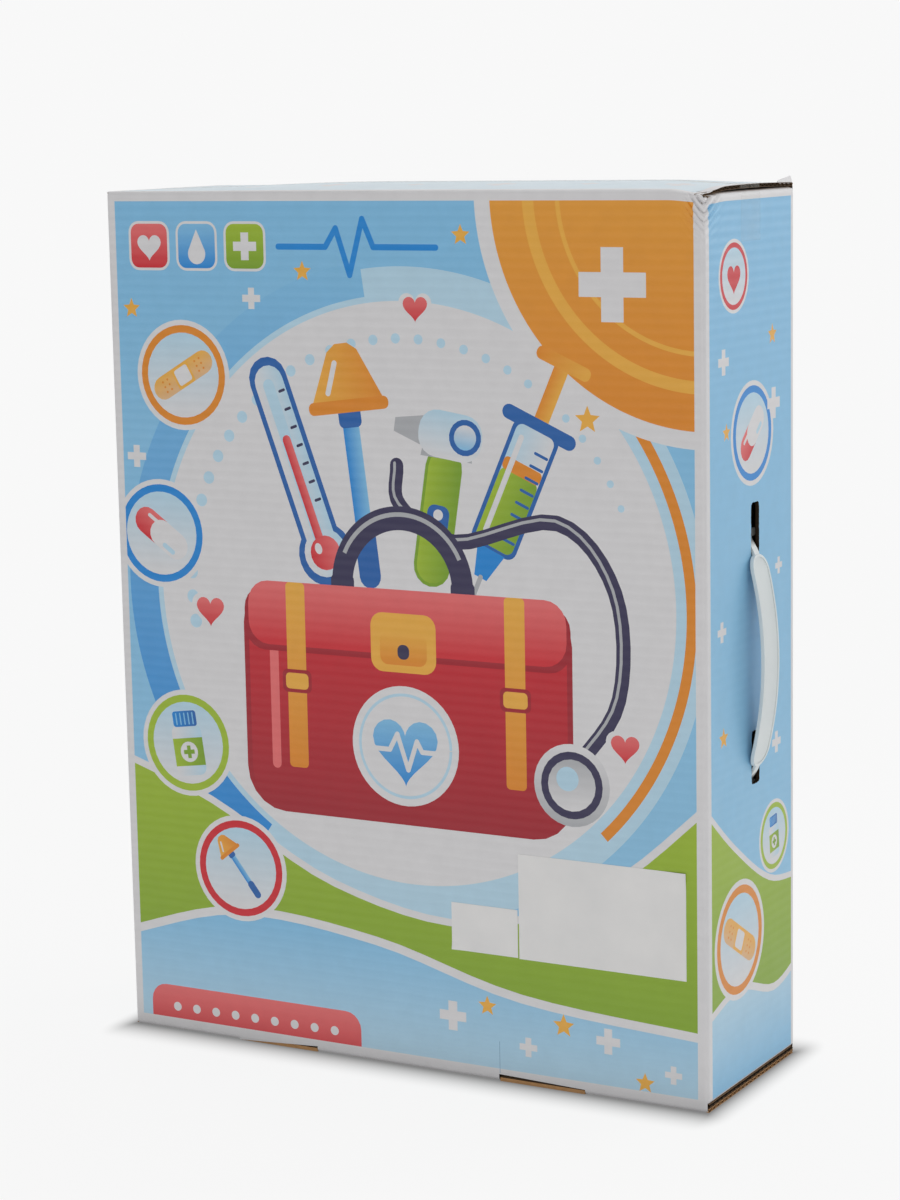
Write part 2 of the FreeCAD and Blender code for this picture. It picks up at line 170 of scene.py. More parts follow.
# Inks as linear colour
INKS = {
    "white": (0.71, 0.70, 0.71),
    "sky": (0.22, 0.51, 0.77),
    "haze": (0.29, 0.56, 0.78),
    "pale": (0.46, 0.66, 0.79),
    "mist": (0.64, 0.74, 0.80),
    "blue": (0.010, 0.24, 0.66),
    "deep": (0.015, 0.12, 0.40),
    "orange": (0.74, 0.25, 0.018),
    "amber": (0.82, 0.42, 0.06),
    "lime": (0.35, 0.50, 0.030),
    "leaf": (0.20, 0.36, 0.020),
    "red": (0.62, 0.018, 0.030),
    "wine": (0.36, 0.010, 0.022),
    "rose": (0.78, 0.16, 0.16),
    "navy": (0.036, 0.030, 0.085),
    "grey": (0.42, 0.43, 0.45),
    "tan": (0.72, 0.45, 0.24),
    # Painted shade for a crease line
    "crease": (0.20, 0.36, 0.52),
}

# Finishes. A texture is a scale per metre, a detail and sometimes a roughness. A bump is a height.
# A range or a pair of ends is a low and a high value, and a stretch is a scale along each axis.
PLAIN_DETAIL = 4
PLAIN_ROUGHNESS = 0.55
CLOUD_ENDS = (0.3, 0.7)

PRINT_SPECULAR = 0.5
PRINT_MOTTLE = (90, 6)
PRINT_MOTTLE_SHARES = (0.93, 1.04)
PRINT_SHEEN = (35, 5)
PRINT_ROUGHNESS = (0.34, 0.5)
PRINT_SWELL = (9, 2)
PRINT_SWELL_SHARE = 1.6
PRINT_GRAIN = (900, 3)
PRINT_GRAIN_SHARE = 0.05
PRINT_FLUTE_SHARE = 0.5
PRINT_BUMP = 0.22
FLUTE_STRETCH = (6, 30, 1)
FLUTE_WANDER = 1.2
FLUTE_PATCH_SCALE = 7
FLUTE_FAINT_SHARE = 0.1

# Each kraft's colour, the share of it in its fibres, and the share of pale flecks
LINER_KRAFT = ((0.34, 0.21, 0.115), 0.7, 0.5)
# Dark kraft for cut edges and the waved sheet: its own darker tone, and painted shade of the hollow flutes
EDGE_SHADE_KRAFT = ((0.095, 0.055, 0.028), 0.6, 0.35)
# Nearly black kraft: painted shade, for cut edges and slots in shadow and the hidden ends of flaps
DEEP_SHADE_KRAFT = ((0.038, 0.022, 0.0112), 0.5, 0.3)
# Light kraft: painted light, a lit copy of the liner kraft for the outer bottom flap's cut ends
LIT_FOOT_KRAFT = ((0.62, 0.34, 0.15), 0.7, 0.2)
KRAFT_SPECULAR = 0.25
KRAFT_FIBRE_STRETCH = (260, 900, 900)
KRAFT_FIBRES = (1, 6, 0.65)
KRAFT_FIBRE_ENDS = (0.42, 0.75)
KRAFT_PATCHES = (14, 5)
KRAFT_PATCH_ENDS = (0.3, 0.75)
KRAFT_PATCH_SHARE = 0.86
KRAFT_FLECKS = (1400, 2)
KRAFT_FLECK_ENDS = (0.66, 0.74)
KRAFT_FLECK_SHARE = 1.7
KRAFT_GRAIN = (700, 4)
KRAFT_GRAIN_SHARE = 0.6
KRAFT_ROUGHNESS = (0.75, 0.95)
KRAFT_BUMP = 0.14

PLASTIC_TINTS = ((0.71, 0.755, 0.755), (0.66, 0.71, 0.72))
# Painted shade for the plastic behind the board, inside the case
PLASTIC_PAINTED_SHADE = (0.09, 0.09, 0.085)
PLASTIC_SPECULAR = 0.5
PLASTIC_CLOUD = (22, 4)
PLASTIC_SHEEN = (120, 5)
PLASTIC_ROUGHNESS = (0.3, 0.48)
PLASTIC_SCRATCH_STRETCH = (1500, 1500, 60)
PLASTIC_SCRATCHES = (1, 3)
PLASTIC_SCRATCH_SHARE = 0.4
PLASTIC_GRAIN = (1600, 3)
PLASTIC_BUMP = 0.03

FILM_TINTS = ((0.70, 0.72, 0.66), (0.84, 0.85, 0.80))
FILM_SPECULAR = 0.6
FILM_HAZE_STRETCH = (30, 160, 160)
FILM_HAZE = (1, 5)
FILM_ALPHAS = (0.02, 0.07)
FILM_SHEEN = (60, 4)
FILM_ROUGHNESS = (0.1, 0.28)
FILM_RIPPLE_STRETCH = (40, 220, 220)
FILM_RIPPLES = (1, 4)
FILM_BUMP = 0.4

LABEL_TINTS = ((0.80, 0.79, 0.78), (0.74, 0.735, 0.73))
LABEL_SPECULAR = 0.35
LABEL_CLOUD = (26, 5)
LABEL_SHEEN = (300, 4)
LABEL_ROUGHNESS = (0.52, 0.72)
LABEL_GRAIN = (1100, 5)
LABEL_SWELL = (40, 2)
LABEL_BUMP = 0.06

# The floor, its glow near the case and far from it, and the shadow along the foot of the case
FLOOR_REACH = 6000.0
SWEEP_BACK = 3200.0
SWEEP_RISE = 2600.0
SWEEP_RADIUS = 1500.0
SWEEP_STEPS = 24
FLOOR_TINTS = ((0.86, 0.86, 0.86), (0.88, 0.88, 0.88))
FLOOR_CLOUD = (3, 3)
FLOOR_SPECULAR = 0.1
FLOOR_ROUGHNESS = 0.7
FLOOR_NEAR = 400.0
FLOOR_FAR = 1500.0
FLOOR_GLOWS = (0.97, 0.94)
FLOOR_GLOW_SHARE = 0.9
FLOOR_SHADOW_REACHES = (19.0, 36.0, 1.0)
FLOOR_SHADOW_POWER = 1.8
FLOOR_SHADOW_SHARE = 0.76

# Each light's name, place, width and height, and power in watts
LIGHTS = (
    ("overhead", (300, 200, 2300), (2600, 2200), 24),
    ("right", (1500, 2000, 1100), (900, 1100), 11),
    ("front", (900, -2300, 1200), (2000, 1600), 8),
)
WORLD_COLOUR = (1, 1, 1, 1)
WORLD_STRENGTH = 0.3

# Camera, fitted to the photograph. The photograph's height and the focal length are in pixels.
PHOTO_HEIGHT = 1200
FOCAL_LENGTH = 2984
SENSOR = 36.0
CAMERA_AZIMUTH = math.radians(29.34)
CAMERA_ELEVATION = math.radians(9.32)
CAMERA_ROLL = math.radians(-1.08)
CAMERA_DISTANCE = 2006.8
CAMERA_RISE = 14.85

# Outlines of print, as lists of points in the plane
ROUND_POINTS = 20
ROUND_POINTS_PER_MM = 1.2
ARC_POINTS = 8
ARC_STEP = 4
CORNER_STEPS = 5
CAPSULE_STEPS = 8
CURVE_STEPS = 6
HEART_POINTS = 36
HEART_SPAN = 32
STAR_TIPS = 5
STAR_NOTCH_SHARE = 0.45
DROP_TURNS = (math.radians(150), math.radians(390))
DROP_STEPS = 20
DROP_TIP_SHARE = 0.62
HILL_OVERRUN = 1


def circle_points(middle, radii, start, end, count):
    x, z = middle
    turns = [start + (end - start) * step / count for step in range(count + 1)]
    return [(x + radii[0] * math.cos(turn), z + radii[1] * math.sin(turn)) for turn in turns]


def ellipse(middle, radii):
    count = max(ROUND_POINTS, int(max(radii) * ROUND_POINTS_PER_MM))
    return circle_points(middle, radii, 0, math.tau, count)[:-1]


def disc(middle, radius):
    return ellipse(middle, (radius, radius))


def arc_band(middle, inner, outer, start, end):
    """A curved band between two radii, from one angle to another in degrees."""
    start, end = math.radians(start), math.radians(end)
    count = max(ARC_POINTS, int(outer * (end - start) / ARC_STEP))
    far = circle_points(middle, (outer, outer), start, end, count)
    near = circle_points(middle, (inner, inner), start, end, count)
    return far + near[::-1]


def rounded(middle, size, corner):
    """A rectangle with round corners."""
    x, z = middle
    half_x, half_z = size[0] / 2 - corner, size[1] / 2 - corner
    points = []
    for quarter, (side_x, side_z) in enumerate(((1, 1), (-1, 1), (-1, -1), (1, -1))):
        start = quarter * math.pi / 2
        place = (x + side_x * half_x, z + side_z * half_z)
        points += circle_points(place, (corner, corner), start, start + math.pi / 2, CORNER_STEPS)
    return points


def rectangle(x_range, z_range):
    (left, right), (low, high) = x_range, z_range
    return [(left, low), (right, low), (right, high), (left, high)]


def polygon(*points):
    return list(points)


def capsule(start, end, width):
    """A straight line with round ends."""
    start, end = Vector(start), Vector(end)
    way = (end - start).normalized() if (end - start).length else Vector((1, 0))
    heading = math.atan2(way.y, way.x)
    radii = (width / 2, width / 2)
    ahead = circle_points(end, radii, heading - math.pi / 2, heading + math.pi / 2, CAPSULE_STEPS)
    behind = circle_points(start, radii, heading + math.pi / 2, heading + 1.5 * math.pi, CAPSULE_STEPS)
    return ahead + behind


def heart(middle, size):
    points = []
    for step in range(HEART_POINTS):
        turn = math.tau * step / HEART_POINTS
        x = 16 * math.sin(turn) ** 3
        z = 13 * math.cos(turn) - 5 * math.cos(2 * turn) - 2 * math.cos(3 * turn) - math.cos(4 * turn)
        points.append((middle[0] + size * x / HEART_SPAN, middle[1] + size * z / HEART_SPAN))
    return points


def plus(middle, size):
    """A cross whose arms are a third of its size wide."""
    arm, half = size / 2, size / 6
    row = [(half, half), (half, arm), (-half, arm), (-half, half), (-arm, half), (-arm, -half),
           (-half, -half), (-half, -arm), (half, -arm), (half, -half), (arm, -half), (arm, half)]
    return [(middle[0] + x, middle[1] + z) for x, z in row]


def star(middle, radius):
    points = []
    for step in range(2 * STAR_TIPS):
        reach = radius if step % 2 == 0 else radius * STAR_NOTCH_SHARE
        turn = math.pi / 2 + math.tau * step / (2 * STAR_TIPS)
        points.append((middle[0] + reach * math.cos(turn), middle[1] + reach * math.sin(turn)))
    return points


def drop(middle, size):
    """A drop whose round part is two thirds of its size wide."""
    x, z = middle
    radius = size / 3
    round_part = circle_points((x, z - radius / 2), (radius, radius), *DROP_TURNS, DROP_STEPS)
    return round_part + [(x, z + size * DROP_TIP_SHARE)]


def smooth_line(points):
    """A smooth curve through the points."""
    row = [Vector(point) for point in points]
    row = [row[0] * 2 - row[1]] + row + [row[-1] * 2 - row[-2]]
    curve = []
    for before, start, end, after in zip(row, row[1:], row[2:], row[3:]):
        for step in range(CURVE_STEPS):
            share = step / CURVE_STEPS
            bend = (2 * before - 5 * start + 4 * end - after) * share**2
            twist = (3 * start - before - 3 * end + after) * share**3
            curve.append((2 * start + (end - before) * share + bend + twist) / 2)
    return [tuple(point) for point in curve + [row[-2]]]


def ground_line(width, points):
    """A curve given in shares of the width and in heights."""
    return smooth_line([(share * width, height) for share, height in points])


def hill(width, points):
    """A rolling band of ground, from the foot up to a line."""
    half = width / 2 + HILL_OVERRUN
    return [(-half, 0), (half, 0)] + ground_line(width, points)[::-1]


# Shapes of several outlines

def stroke(points, width):
    """A line of ink, as one capsule for each of its runs."""
    return [capsule(start, end, width) for start, end in zip(points, points[1:])]


def curved_stroke(points, width):
    return stroke(smooth_line(points), width)


def ridge(width, points, thickness):
    """A line of ink along the top of a hill."""
    return stroke(ground_line(width, points), thickness)


def marks(shape, places, *measures):
    """The same shape at several places."""
    return [shape(place, *measures) for place in places]


GROUPS = (stroke, curved_stroke, ridge, marks)

# Motifs of the print, in millimetres about each motif's own middle. A row is an ink, then a shape and its
# measures. In place of the ink there can be a fade: the ink it starts from, the one it ends in, and its way.
UPWARD = (0, 1)
SIDEWAYS = (1, 0)
GLASS = ("white", "pale", SIDEWAYS)

THERMOMETER = (
    ("deep", capsule, (0, -58), (0, 58), 28),
    ("deep", disc, (0, -58), 20),
    (GLASS, capsule, (0, -56), (0, 56), 21),
    (GLASS, disc, (0, -57), 15.5),
    ("pale", capsule, (-1, -50), (-1, 54), 8),
    (("red", "rose", SIDEWAYS), capsule, (-1, -52), (-1, 18), 6),
    (("red", "rose", SIDEWAYS), disc, (0, -57), 11),
    ("navy", marks, rounded, [(7, height) for height in range(-24, 54, 12)], (5, 1.8), 0.8),
    ("white", ellipse, (-4, -53), (2.6, 3.6)),
)
SYRINGE = (
    (("orange", "amber", SIDEWAYS), rounded, (0, 66), (11, 50), 2),
    (("orange", "amber", SIDEWAYS), rounded, (0, 92), (42, 9), 4),
    ("deep", rounded, (0, 0), (36, 92), 7),
    ("deep", rounded, (0, 46), (58, 10), 5),
    (("pale", "white", SIDEWAYS), rounded, (0, 0), (30, 86), 5),
    (("lime", "leaf", SIDEWAYS), rounded, (0, -16), (30, 54), 5),
    ("orange", rounded, (0, 14), (30, 9), 3),
    ("deep", marks, rounded, [(9, height) for height in range(-34, 38, 9)], (11, 2), 0.9),
    ("white", rounded, (-9, 0), (4, 72), 2),
    ("blue", polygon, (-11, -45), (-5, -66), (5, -66), (11, -45)),
    ("grey", rounded, (0, -80), (3.4, 32), 1.4),
)
REFLEX_HAMMER = (
    (("blue", "sky", SIDEWAYS), capsule, (0, -72), (0, 34), 13),
    ("deep", capsule, (0, -72), (0, -44), 17),
    ("deep", rounded, (0, 38), (18, 14), 4),
    (("amber", "orange", SIDEWAYS), polygon, (-30, 46), (30, 46), (12, 84), (5, 89), (-5, 89), (-12, 84)),
    ("orange", rounded, (0, 46), (64, 9), 4),
    ("white", capsule, (-15, 56), (-7, 76), 4),
)
EAR_SCOPE = (
    ("leaf", capsule, (0, -66), (0, 6), 30),
    (("lime", "leaf", SIDEWAYS), capsule, (0, -66), (0, 6), 25),
    ("deep", rounded, (0, -34), (18, 26), 6),
    ("white", marks, disc, [(0, -28), (0, -40)], 4),
    ("grey", polygon, (-20, 12), (22, 14), (17, 40), (-17, 40)),
    ("grey", polygon, (-16, 18), (-44, 25), (-44, 35), (-16, 42)),
    (("white", "pale", UPWARD), rounded, (2, 30), (52, 34), 15),
    ("deep", disc, (14, 31), 13),
    (("sky", "white", UPWARD), disc, (14, 31), 9),
)
PLASTER_DOT_START = 28
PLASTER_DOT_COLUMN = 9
PLASTER_DOT_ROW = 8
PLASTER_DOTS = [(side * (PLASTER_DOT_START + PLASTER_DOT_COLUMN * column), PLASTER_DOT_ROW * row)
                for side in (-1, 1) for column in (0, 1) for row in (-1, 0, 1)]
PLASTER = (
    (("tan", "amber", UPWARD), capsule, (-40, 0), (40, 0), 34),
    ("amber", rounded, (0, 0), (32, 34), 3),
    ("white", rounded, (0, 0), (25, 25), 4),
    ("orange", marks, disc, PLASTER_DOTS, 1.7),
)
PILL = (
    (("red", "rose", UPWARD), capsule, (-22, 0), (22, 0), 28),
    ("white", capsule, (0, 0), (22, 0), 28),
    ("white", rectangle, (0, 8), (-14, 14)),
    ("white", capsule, (-22, 7), (-8, 7), 4),
    ("pale", capsule, (10, -8), (22, -8), 5),
)
BOTTLE = (
    (GLASS, rounded, (0, -12), (58, 84), 13),
    (("blue", "deep", SIDEWAYS), rounded, (0, 40), (46, 26), 5),
    ("sky", marks, rounded, [(place, 40) for place in range(-16, 20, 8)], (2.4, 20), 1),
    (("lime", "leaf", SIDEWAYS), rectangle, (-29, 29), (-38, 8)),
    ("white", disc, (0, -15), 17),
    ("leaf", plus, (0, -15), 21),
)
BAG_PULSE = [(-28, -37), (-12, -37), (-6, -26), (2, -50), (9, -30), (13, -37), (28, -37)]
BAG_STRAP_PLACES = (-84, 84)
BAG_STRAPS = [row for x in BAG_STRAP_PLACES for row in (
    (("orange", "amber", UPWARD), rounded, (x, 8), (15, 128), 3),
    ("wine", rounded, (x, 4), (23, 16), 4),
    ("amber", rounded, (x, 4), (18, 11), 3),
)]
DOCTOR_BAG = (
    ("navy", arc_band, (0, 74), 38, 54, 0, 180),
    ("navy", marks, rounded, [(-46, 70), (46, 70)], (18, 20), 4),
    ("grey", arc_band, (0, 74), 47, 50, 25, 155),
    ("wine", rounded, (0, -8), (252, 160), 30),
    (("wine", "red", UPWARD), rounded, (0, -10), (244, 152), 27),
    ("rose", rounded, (-102, -6), (7, 104), 3.5),
    ("wine", rounded, (0, 46), (250, 44), 16),
    (("red", "rose", UPWARD), rounded, (0, 50), (244, 44), 16),
    ("amber", rounded, (0, 36), (50, 40), 9),
    (("orange", "amber", UPWARD), rounded, (0, 32), (36, 22), 6),
    ("navy", rounded, (0, 30), (9, 10), 4),
    ("white", disc, (0, -34), 41),
    ("pale", arc_band, (0, -34), 34, 36, 0, 359),
    (("blue", "sky", UPWARD), heart, (0, -35), 50),
    ("white", stroke, BAG_PULSE, 3.4),
    *BAG_STRAPS,
)

# The print of the front and back, about the middle of its foot
RING_MIDDLE = (8, 318)
RING_DOT_REACH = 168
RING_DOT_STEPS = range(4, 34)
RING_DOT_STEPS_PER_RADIAN = 10
RING_DOT_RADIUS = 2
RING_DOT_STEPS_PER_MM = 12
SUN_MIDDLE = (WIDTH / 2, HEIGHT)
FAR_HILL = [(-0.52, 196), (-0.34, 168), (-0.12, 120), (0.12, 104), (0.34, 140), (0.52, 206)]
NEAR_HILL = [(-0.52, 66), (-0.3, 92), (-0.05, 84), (0.2, 58), (0.52, 48)]
BANNER_DOT_START = -184
BANNER_DOT_PITCH = 16
BANNER_DOT_HEIGHT = 17
BANNER_DOT_COUNT = 9
BANNER_DOTS = [(BANNER_DOT_START + BANNER_DOT_PITCH * step, BANNER_DOT_HEIGHT)
               for step in range(BANNER_DOT_COUNT)]
FRONT_GROUND = (
    (("haze", "sky", UPWARD), rectangle, (-WIDTH / 2, WIDTH / 2), (0, HEIGHT)),
    ("pale", disc, RING_MIDDLE, 214),
    ("white", disc, RING_MIDDLE, 192),
    (("blue", "sky", UPWARD), arc_band, RING_MIDDLE, 196, 219, 98, 236),
    ("orange", arc_band, RING_MIDDLE, 199, 206, -46, 40),
)
FRONT_SCENERY = (
    ("white", disc, SUN_MIDDLE, 158),
    (("orange", "amber", UPWARD), disc, SUN_MIDDLE, 147),
    ("amber", arc_band, SUN_MIDDLE, 116, 124, 180, 270),
    ("amber", arc_band, SUN_MIDDLE, 98, 101, 180, 270),
    ("white", plus, (158, 522), 46),
    (("leaf", "lime", UPWARD), hill, WIDTH, FAR_HILL),
    ("white", ridge, WIDTH, FAR_HILL, 5),
    (("pale", "sky", UPWARD), hill, WIDTH, NEAR_HILL),
    ("white", ridge, WIDTH, NEAR_HILL, 6),
    (("red", "rose", UPWARD), rounded, (-120, 14), (170, 36), 12),
    ("white", marks, disc, BANNER_DOTS, 3.2),
)
# Each tool's middle, its turn in degrees and its size
FRONT_TOOLS = (
    (THERMOMETER, (-74, 400), 20, 1.05),
    (SYRINGE, (88, 392), -24, 0.96),
    (REFLEX_HAMMER, (-28, 398), 7, 0.95),
    (EAR_SCOPE, (36, 398), -9, 0.9),
)
TUBE = [(2, 404), (4, 378), (44, 356), (118, 372), (158, 330), (160, 262), (128, 214)]
TUBE_SHINE_SHIFT = 1.5
TUBE_SHINE = [(x - TUBE_SHINE_SHIFT, z + TUBE_SHINE_SHIFT) for x, z in TUBE]
STETHOSCOPE_TUBE = (
    ("navy", curved_stroke, TUBE, 10),
    ("grey", curved_stroke, TUBE_SHINE, 2),
)
FRONT_BAG = (DOCTOR_BAG, (4, 252), 0, 0.98)
CHEST_MIDDLE = (126, 204)
STETHOSCOPE_HEAD = (
    (("grey", "white", UPWARD), disc, CHEST_MIDDLE, 27),
    ("navy", disc, CHEST_MIDDLE, 22),
    (("white", "grey", UPWARD), disc, CHEST_MIDDLE, 17),
    ("pale", disc, (123, 208), 8),
)
# Each badge's ring, its motif with size and turn, and the badge's middle and size
FRONT_BADGES = (
    ("orange", PLASTER, 0.46, 30, (-162, 458), 1),
    ("blue", PILL, 0.66, -35, (-184, 350), 1),
    ("lime", BOTTLE, 0.42, 8, (-168, 206), 1),
    ("red", REFLEX_HAMMER, 0.3, 38, (-128, 122), 1),
)
# Each tile's fade, its mark and its middle
FRONT_TILES = (
    (("red", "rose", UPWARD), ("white", heart, (0, 0), 22), (-186, 544)),
    (("blue", "sky", UPWARD), ("white", drop, (0, -2), 24), (-148, 544)),
    (("leaf", "lime", UPWARD), ("white", plus, (0, 0), 21), (-110, 544)),
)
TILE_SHARE = 0.86
FRONT_PULSE = [(-84, 544), (-48, 544), (-40, 556), (-30, 526), (-20, 562), (-12, 544), (34, 544)]
FRONT_PULSE_WIDTH = 4
# Small marks, as places and sizes
FRONT_PLUSES = [(-106, 510, 14), (-202, 402, 15), (36, 40, 20), (92, 26, 13), (150, 38, 17), (196, 22, 12)]
FRONT_STARS = [(-202, 502, 7), (140, 438, 9), (-66, 528, 7), (62, 50, 7), (118, 44, 8), (176, 14, 7),
               (52, 552, 7)]
FRONT_HEARTS = [(-146, 300, 22), (164, 232, 20), (18, 506, 18)]
HEART_RIM_SHARE = 1.35

# The print of the two sides, about the middle of its foot
SIDE_HILL = [(-0.56, 196), (-0.2, 158), (0.2, 126), (0.56, 118)]
SIDE_BROOK = [(-0.56, 52), (-0.15, 64), (0.25, 50), (0.56, 60)]
SIDE_GROUND = (
    (("haze", "sky", UPWARD), rectangle, (-DEPTH / 2, DEPTH / 2), (0, SIDE_HEIGHT)),
    (("leaf", "lime", UPWARD), hill, DEPTH, SIDE_HILL),
    ("white", ridge, DEPTH, SIDE_HILL, 4),
    (("sky", "pale", UPWARD), hill, DEPTH, SIDE_BROOK),
    ("white", ridge, DEPTH, SIDE_BROOK, 5),
)
SIDE_BADGES = (
    ("red", (), 1, 0, (-26, 520), 0.62),
    ("blue", PILL, 0.66, 40, (2, 420), 0.9),
    ("orange", PLASTER, 0.46, -30, (-20, 96), 1.06),
    ("lime", BOTTLE, 0.4, 6, (36, 152), 0.66),
)
SIDE_HEART = (("red", heart, (-26, 519), 20),)
SIDE_PLUSES = [(-42, 468, 16), (36, 436, 20), (40, 214, 14), (-46, 300, 13), (44, 330, 11)]
SIDE_STARS = [(34, 480, 7), (-38, 424, 6), (-44, 232, 7)]

# Badges, tiles and the marks of the top flaps
BADGE_RADII = (37, 33.5, 28.5)
TILE_SIZES = (38, 34)
TILE_CORNERS = (9, 7)
FLAP_MARK_PAIRS = 3
FLAP_MARK_SIZES = (12, 20)
FLAP_MARK_HEIGHT_SHARE = 0.52


class Motif:
    """Layers of ink, later ones over earlier ones. A layer can fade from one ink to another."""

    def __init__(self, rows=()):
        self.layers = []
        self.draw(rows)

    def draw(self, rows):
        for ink, shape, *measures in rows:
            first, last, way = ink if isinstance(ink, tuple) else (ink, ink, UPWARD)
            outlines = shape(*measures) if shape in GROUPS else [shape(*measures)]
            for outline in outlines:
                self.layers.append((outline, first, last, way))

    def place(self, motif, middle, turn=0, size=1):
        """Another motif, turned and scaled about its own middle."""
        cosine = math.cos(math.radians(turn)) * size
        sine = math.sin(math.radians(turn)) * size
        for outline, first, last, (way_x, way_z) in motif.layers:
            moved = []
            for x, z in outline:
                moved.append((middle[0] + x * cosine - z * sine, middle[1] + x * sine + z * cosine))
            turned_way = (way_x * cosine - way_z * sine, way_x * sine + way_z * cosine)
            self.layers.append((moved, first, last, turned_way))

    def scatter(self, pluses, stars):
        self.draw([("white", plus, (x, z), size) for x, z, size in pluses])
        self.draw([("amber", star, (x, z), size) for x, z, size in stars])

    def badges(self, plan):
        for ring, rows, size, turn, middle, badge_size in plan:
            self.place(badge(ring, rows, size, turn), middle, 0, badge_size)


def badge(ring, rows, size, turn):
    """A round picture with a coloured ring."""
    rim, colour, ground = BADGE_RADII
    art = Motif((("white", disc, (0, 0), rim), (ring, disc, (0, 0), colour),
                 (("white", "pale", UPWARD), disc, (0, 0), ground)))
    art.place(Motif(rows), (0, 0), turn, size)
    return art


def tile(fade, mark):
    """A small rounded square with a white mark."""
    rows = [(ink, rounded, (0, 0), (size, size), corner)
            for ink, size, corner in zip(("white", fade), TILE_SIZES, TILE_CORNERS)]
    return Motif([*rows, mark])


def ring_dots():
    """Dots along a ring, each a little larger than the one before."""
    rows = []
    for step in RING_DOT_STEPS:
        turn = step / RING_DOT_STEPS_PER_RADIAN
        x = RING_MIDDLE[0] + RING_DOT_REACH * math.cos(turn)
        z = RING_MIDDLE[1] + RING_DOT_REACH * math.sin(turn)
        rows.append(("pale", disc, (x, z), RING_DOT_RADIUS + step / RING_DOT_STEPS_PER_MM))
    return rows


def large_art():
    """The print of the front and back panels."""
    art = Motif((*FRONT_GROUND, *ring_dots(), *FRONT_SCENERY))
    for rows, *placing in FRONT_TOOLS:
        art.place(Motif(rows), *placing)
    art.draw(STETHOSCOPE_TUBE)
    bag, *placing = FRONT_BAG
    art.place(Motif(bag), *placing)
    art.draw(STETHOSCOPE_HEAD)
    art.badges(FRONT_BADGES)
    for fade, mark, middle in FRONT_TILES:
        art.place(tile(fade, mark), middle, 0, TILE_SHARE)
    art.draw([("blue", stroke, FRONT_PULSE, FRONT_PULSE_WIDTH)])
    art.scatter(FRONT_PLUSES, FRONT_STARS)
    for x, z, size in FRONT_HEARTS:
        art.draw([("white", heart, (x, z), size * HEART_RIM_SHARE),
                  (("red", "rose", UPWARD), heart, (x, z), size)])
    return art


def side_art():
    """The print of the two side panels."""
    art = Motif(SIDE_GROUND)
    art.badges(SIDE_BADGES[:1])
    art.draw(SIDE_HEART)
    art.badges(SIDE_BADGES[1:])
    art.scatter(SIDE_PLUSES, SIDE_STARS)
    return art


def flap_art(width, height):
    """The print of the top flaps: a plain tint with a row of marks."""
    art = Motif([("mist", rectangle, (-width / 2, width / 2), (0, height))])
    for step in range(-FLAP_MARK_PAIRS, FLAP_MARK_PAIRS + 1):
        middle = (step * width / (2 * FLAP_MARK_PAIRS + 1), height * FLAP_MARK_HEIGHT_SHARE)
        art.draw([("white", plus, middle, FLAP_MARK_SIZES[step % 2])])
    return art


def border(art, width, height, top, left, right, foot):
    """The unprinted margin, over the layers so far."""
    low, high = -width / 2, width / 2
    for x_range, z_range in (((low, low + left), (0, height)), ((high - right, high), (0, height)),
                             ((low, high), (height - top, height)), ((low, high), (0, foot))):
        art.draw([("white", rectangle, x_range, z_range)])
    return art


# Board

def roll(place, length, low_fold, high_fold, depth):
    """Where a point of the flat sheet lies, and how deep, once its folded ends roll into their creases."""
    for folded, start, far in ((low_fold, place, False), (high_fold, length - place, True)):
        if folded and start < CREASE_RADIUS:
            turn = FOLD_TURN * (1 - start / CREASE_RADIUS)
            radius = CREASE_RADIUS - depth
            reach = CREASE_RADIUS - radius * math.sin(turn)
            return (length - reach if far else reach), CREASE_RADIUS - radius * math.cos(turn)
    return place, depth


def smooth(share):
    """A share kept between 0 and 1, with a soft start and end."""
    share = min(1, max(0, share))
    return share * share * (3 - 2 * share)


def wave_of(phase):
    """Rounded ridges with sharp valleys between them, from 0 to 1."""
    return 1 - abs(math.cos(phase / 2))


def damage(point):
    """Handling damage: the upper right corner of the front is pinched and wrinkled, and the lid is domed."""
    moved = point.copy()
    below = TOP - point.z
    from_right = RIGHT - point.x
    from_front = point.y - FRONT
    near = smooth(1 - from_right / PINCH_REACHES[0]) * smooth(1 - from_front / PINCH_REACHES[1])
    if near > 0:
        ply = min(max(below, 0), BOARD)
        moved.z += near * (PINCH_SHARE * ply - PINCH_DEPTH) * smooth(1 - (below - ply) / PINCH_DROP)
    wrinkled = smooth(1 - from_right / WRINKLE_FRONT_REACH) * smooth(1 - from_front / WRINKLE_SIDE_REACH)
    wrinkled *= smooth(1 - below / WRINKLE_DROP)
    if wrinkled > 0:
        slant = WRINKLE_RISE_SHARES[0] * from_right + WRINKLE_RISE_SHARES[1] * from_front
        press = WRINKLE_DEPTH * wrinkled * wave_of(math.tau * (below + slant) / WRINKLE_PITCH)
        moved += Vector((-press, press, 0))
    if below < BOARD + PLY_GAP / 2:
        share = smooth((point.x - LEFT) / LID_LEFT_REACH)
        share *= LID_RIGHT_SHARE + (1 - LID_RIGHT_SHARE) * smooth(from_right / LID_RIGHT_REACH)
        moved.z += LID_RISE * share * math.sin(math.pi * min(1, max(0, from_front / DEPTH)))
    return moved


def between(length, step):
    """Even places along a length, about a step apart, without its two ends."""
    count = int(length / step)
    return [length * index / count for index in range(1, count)]


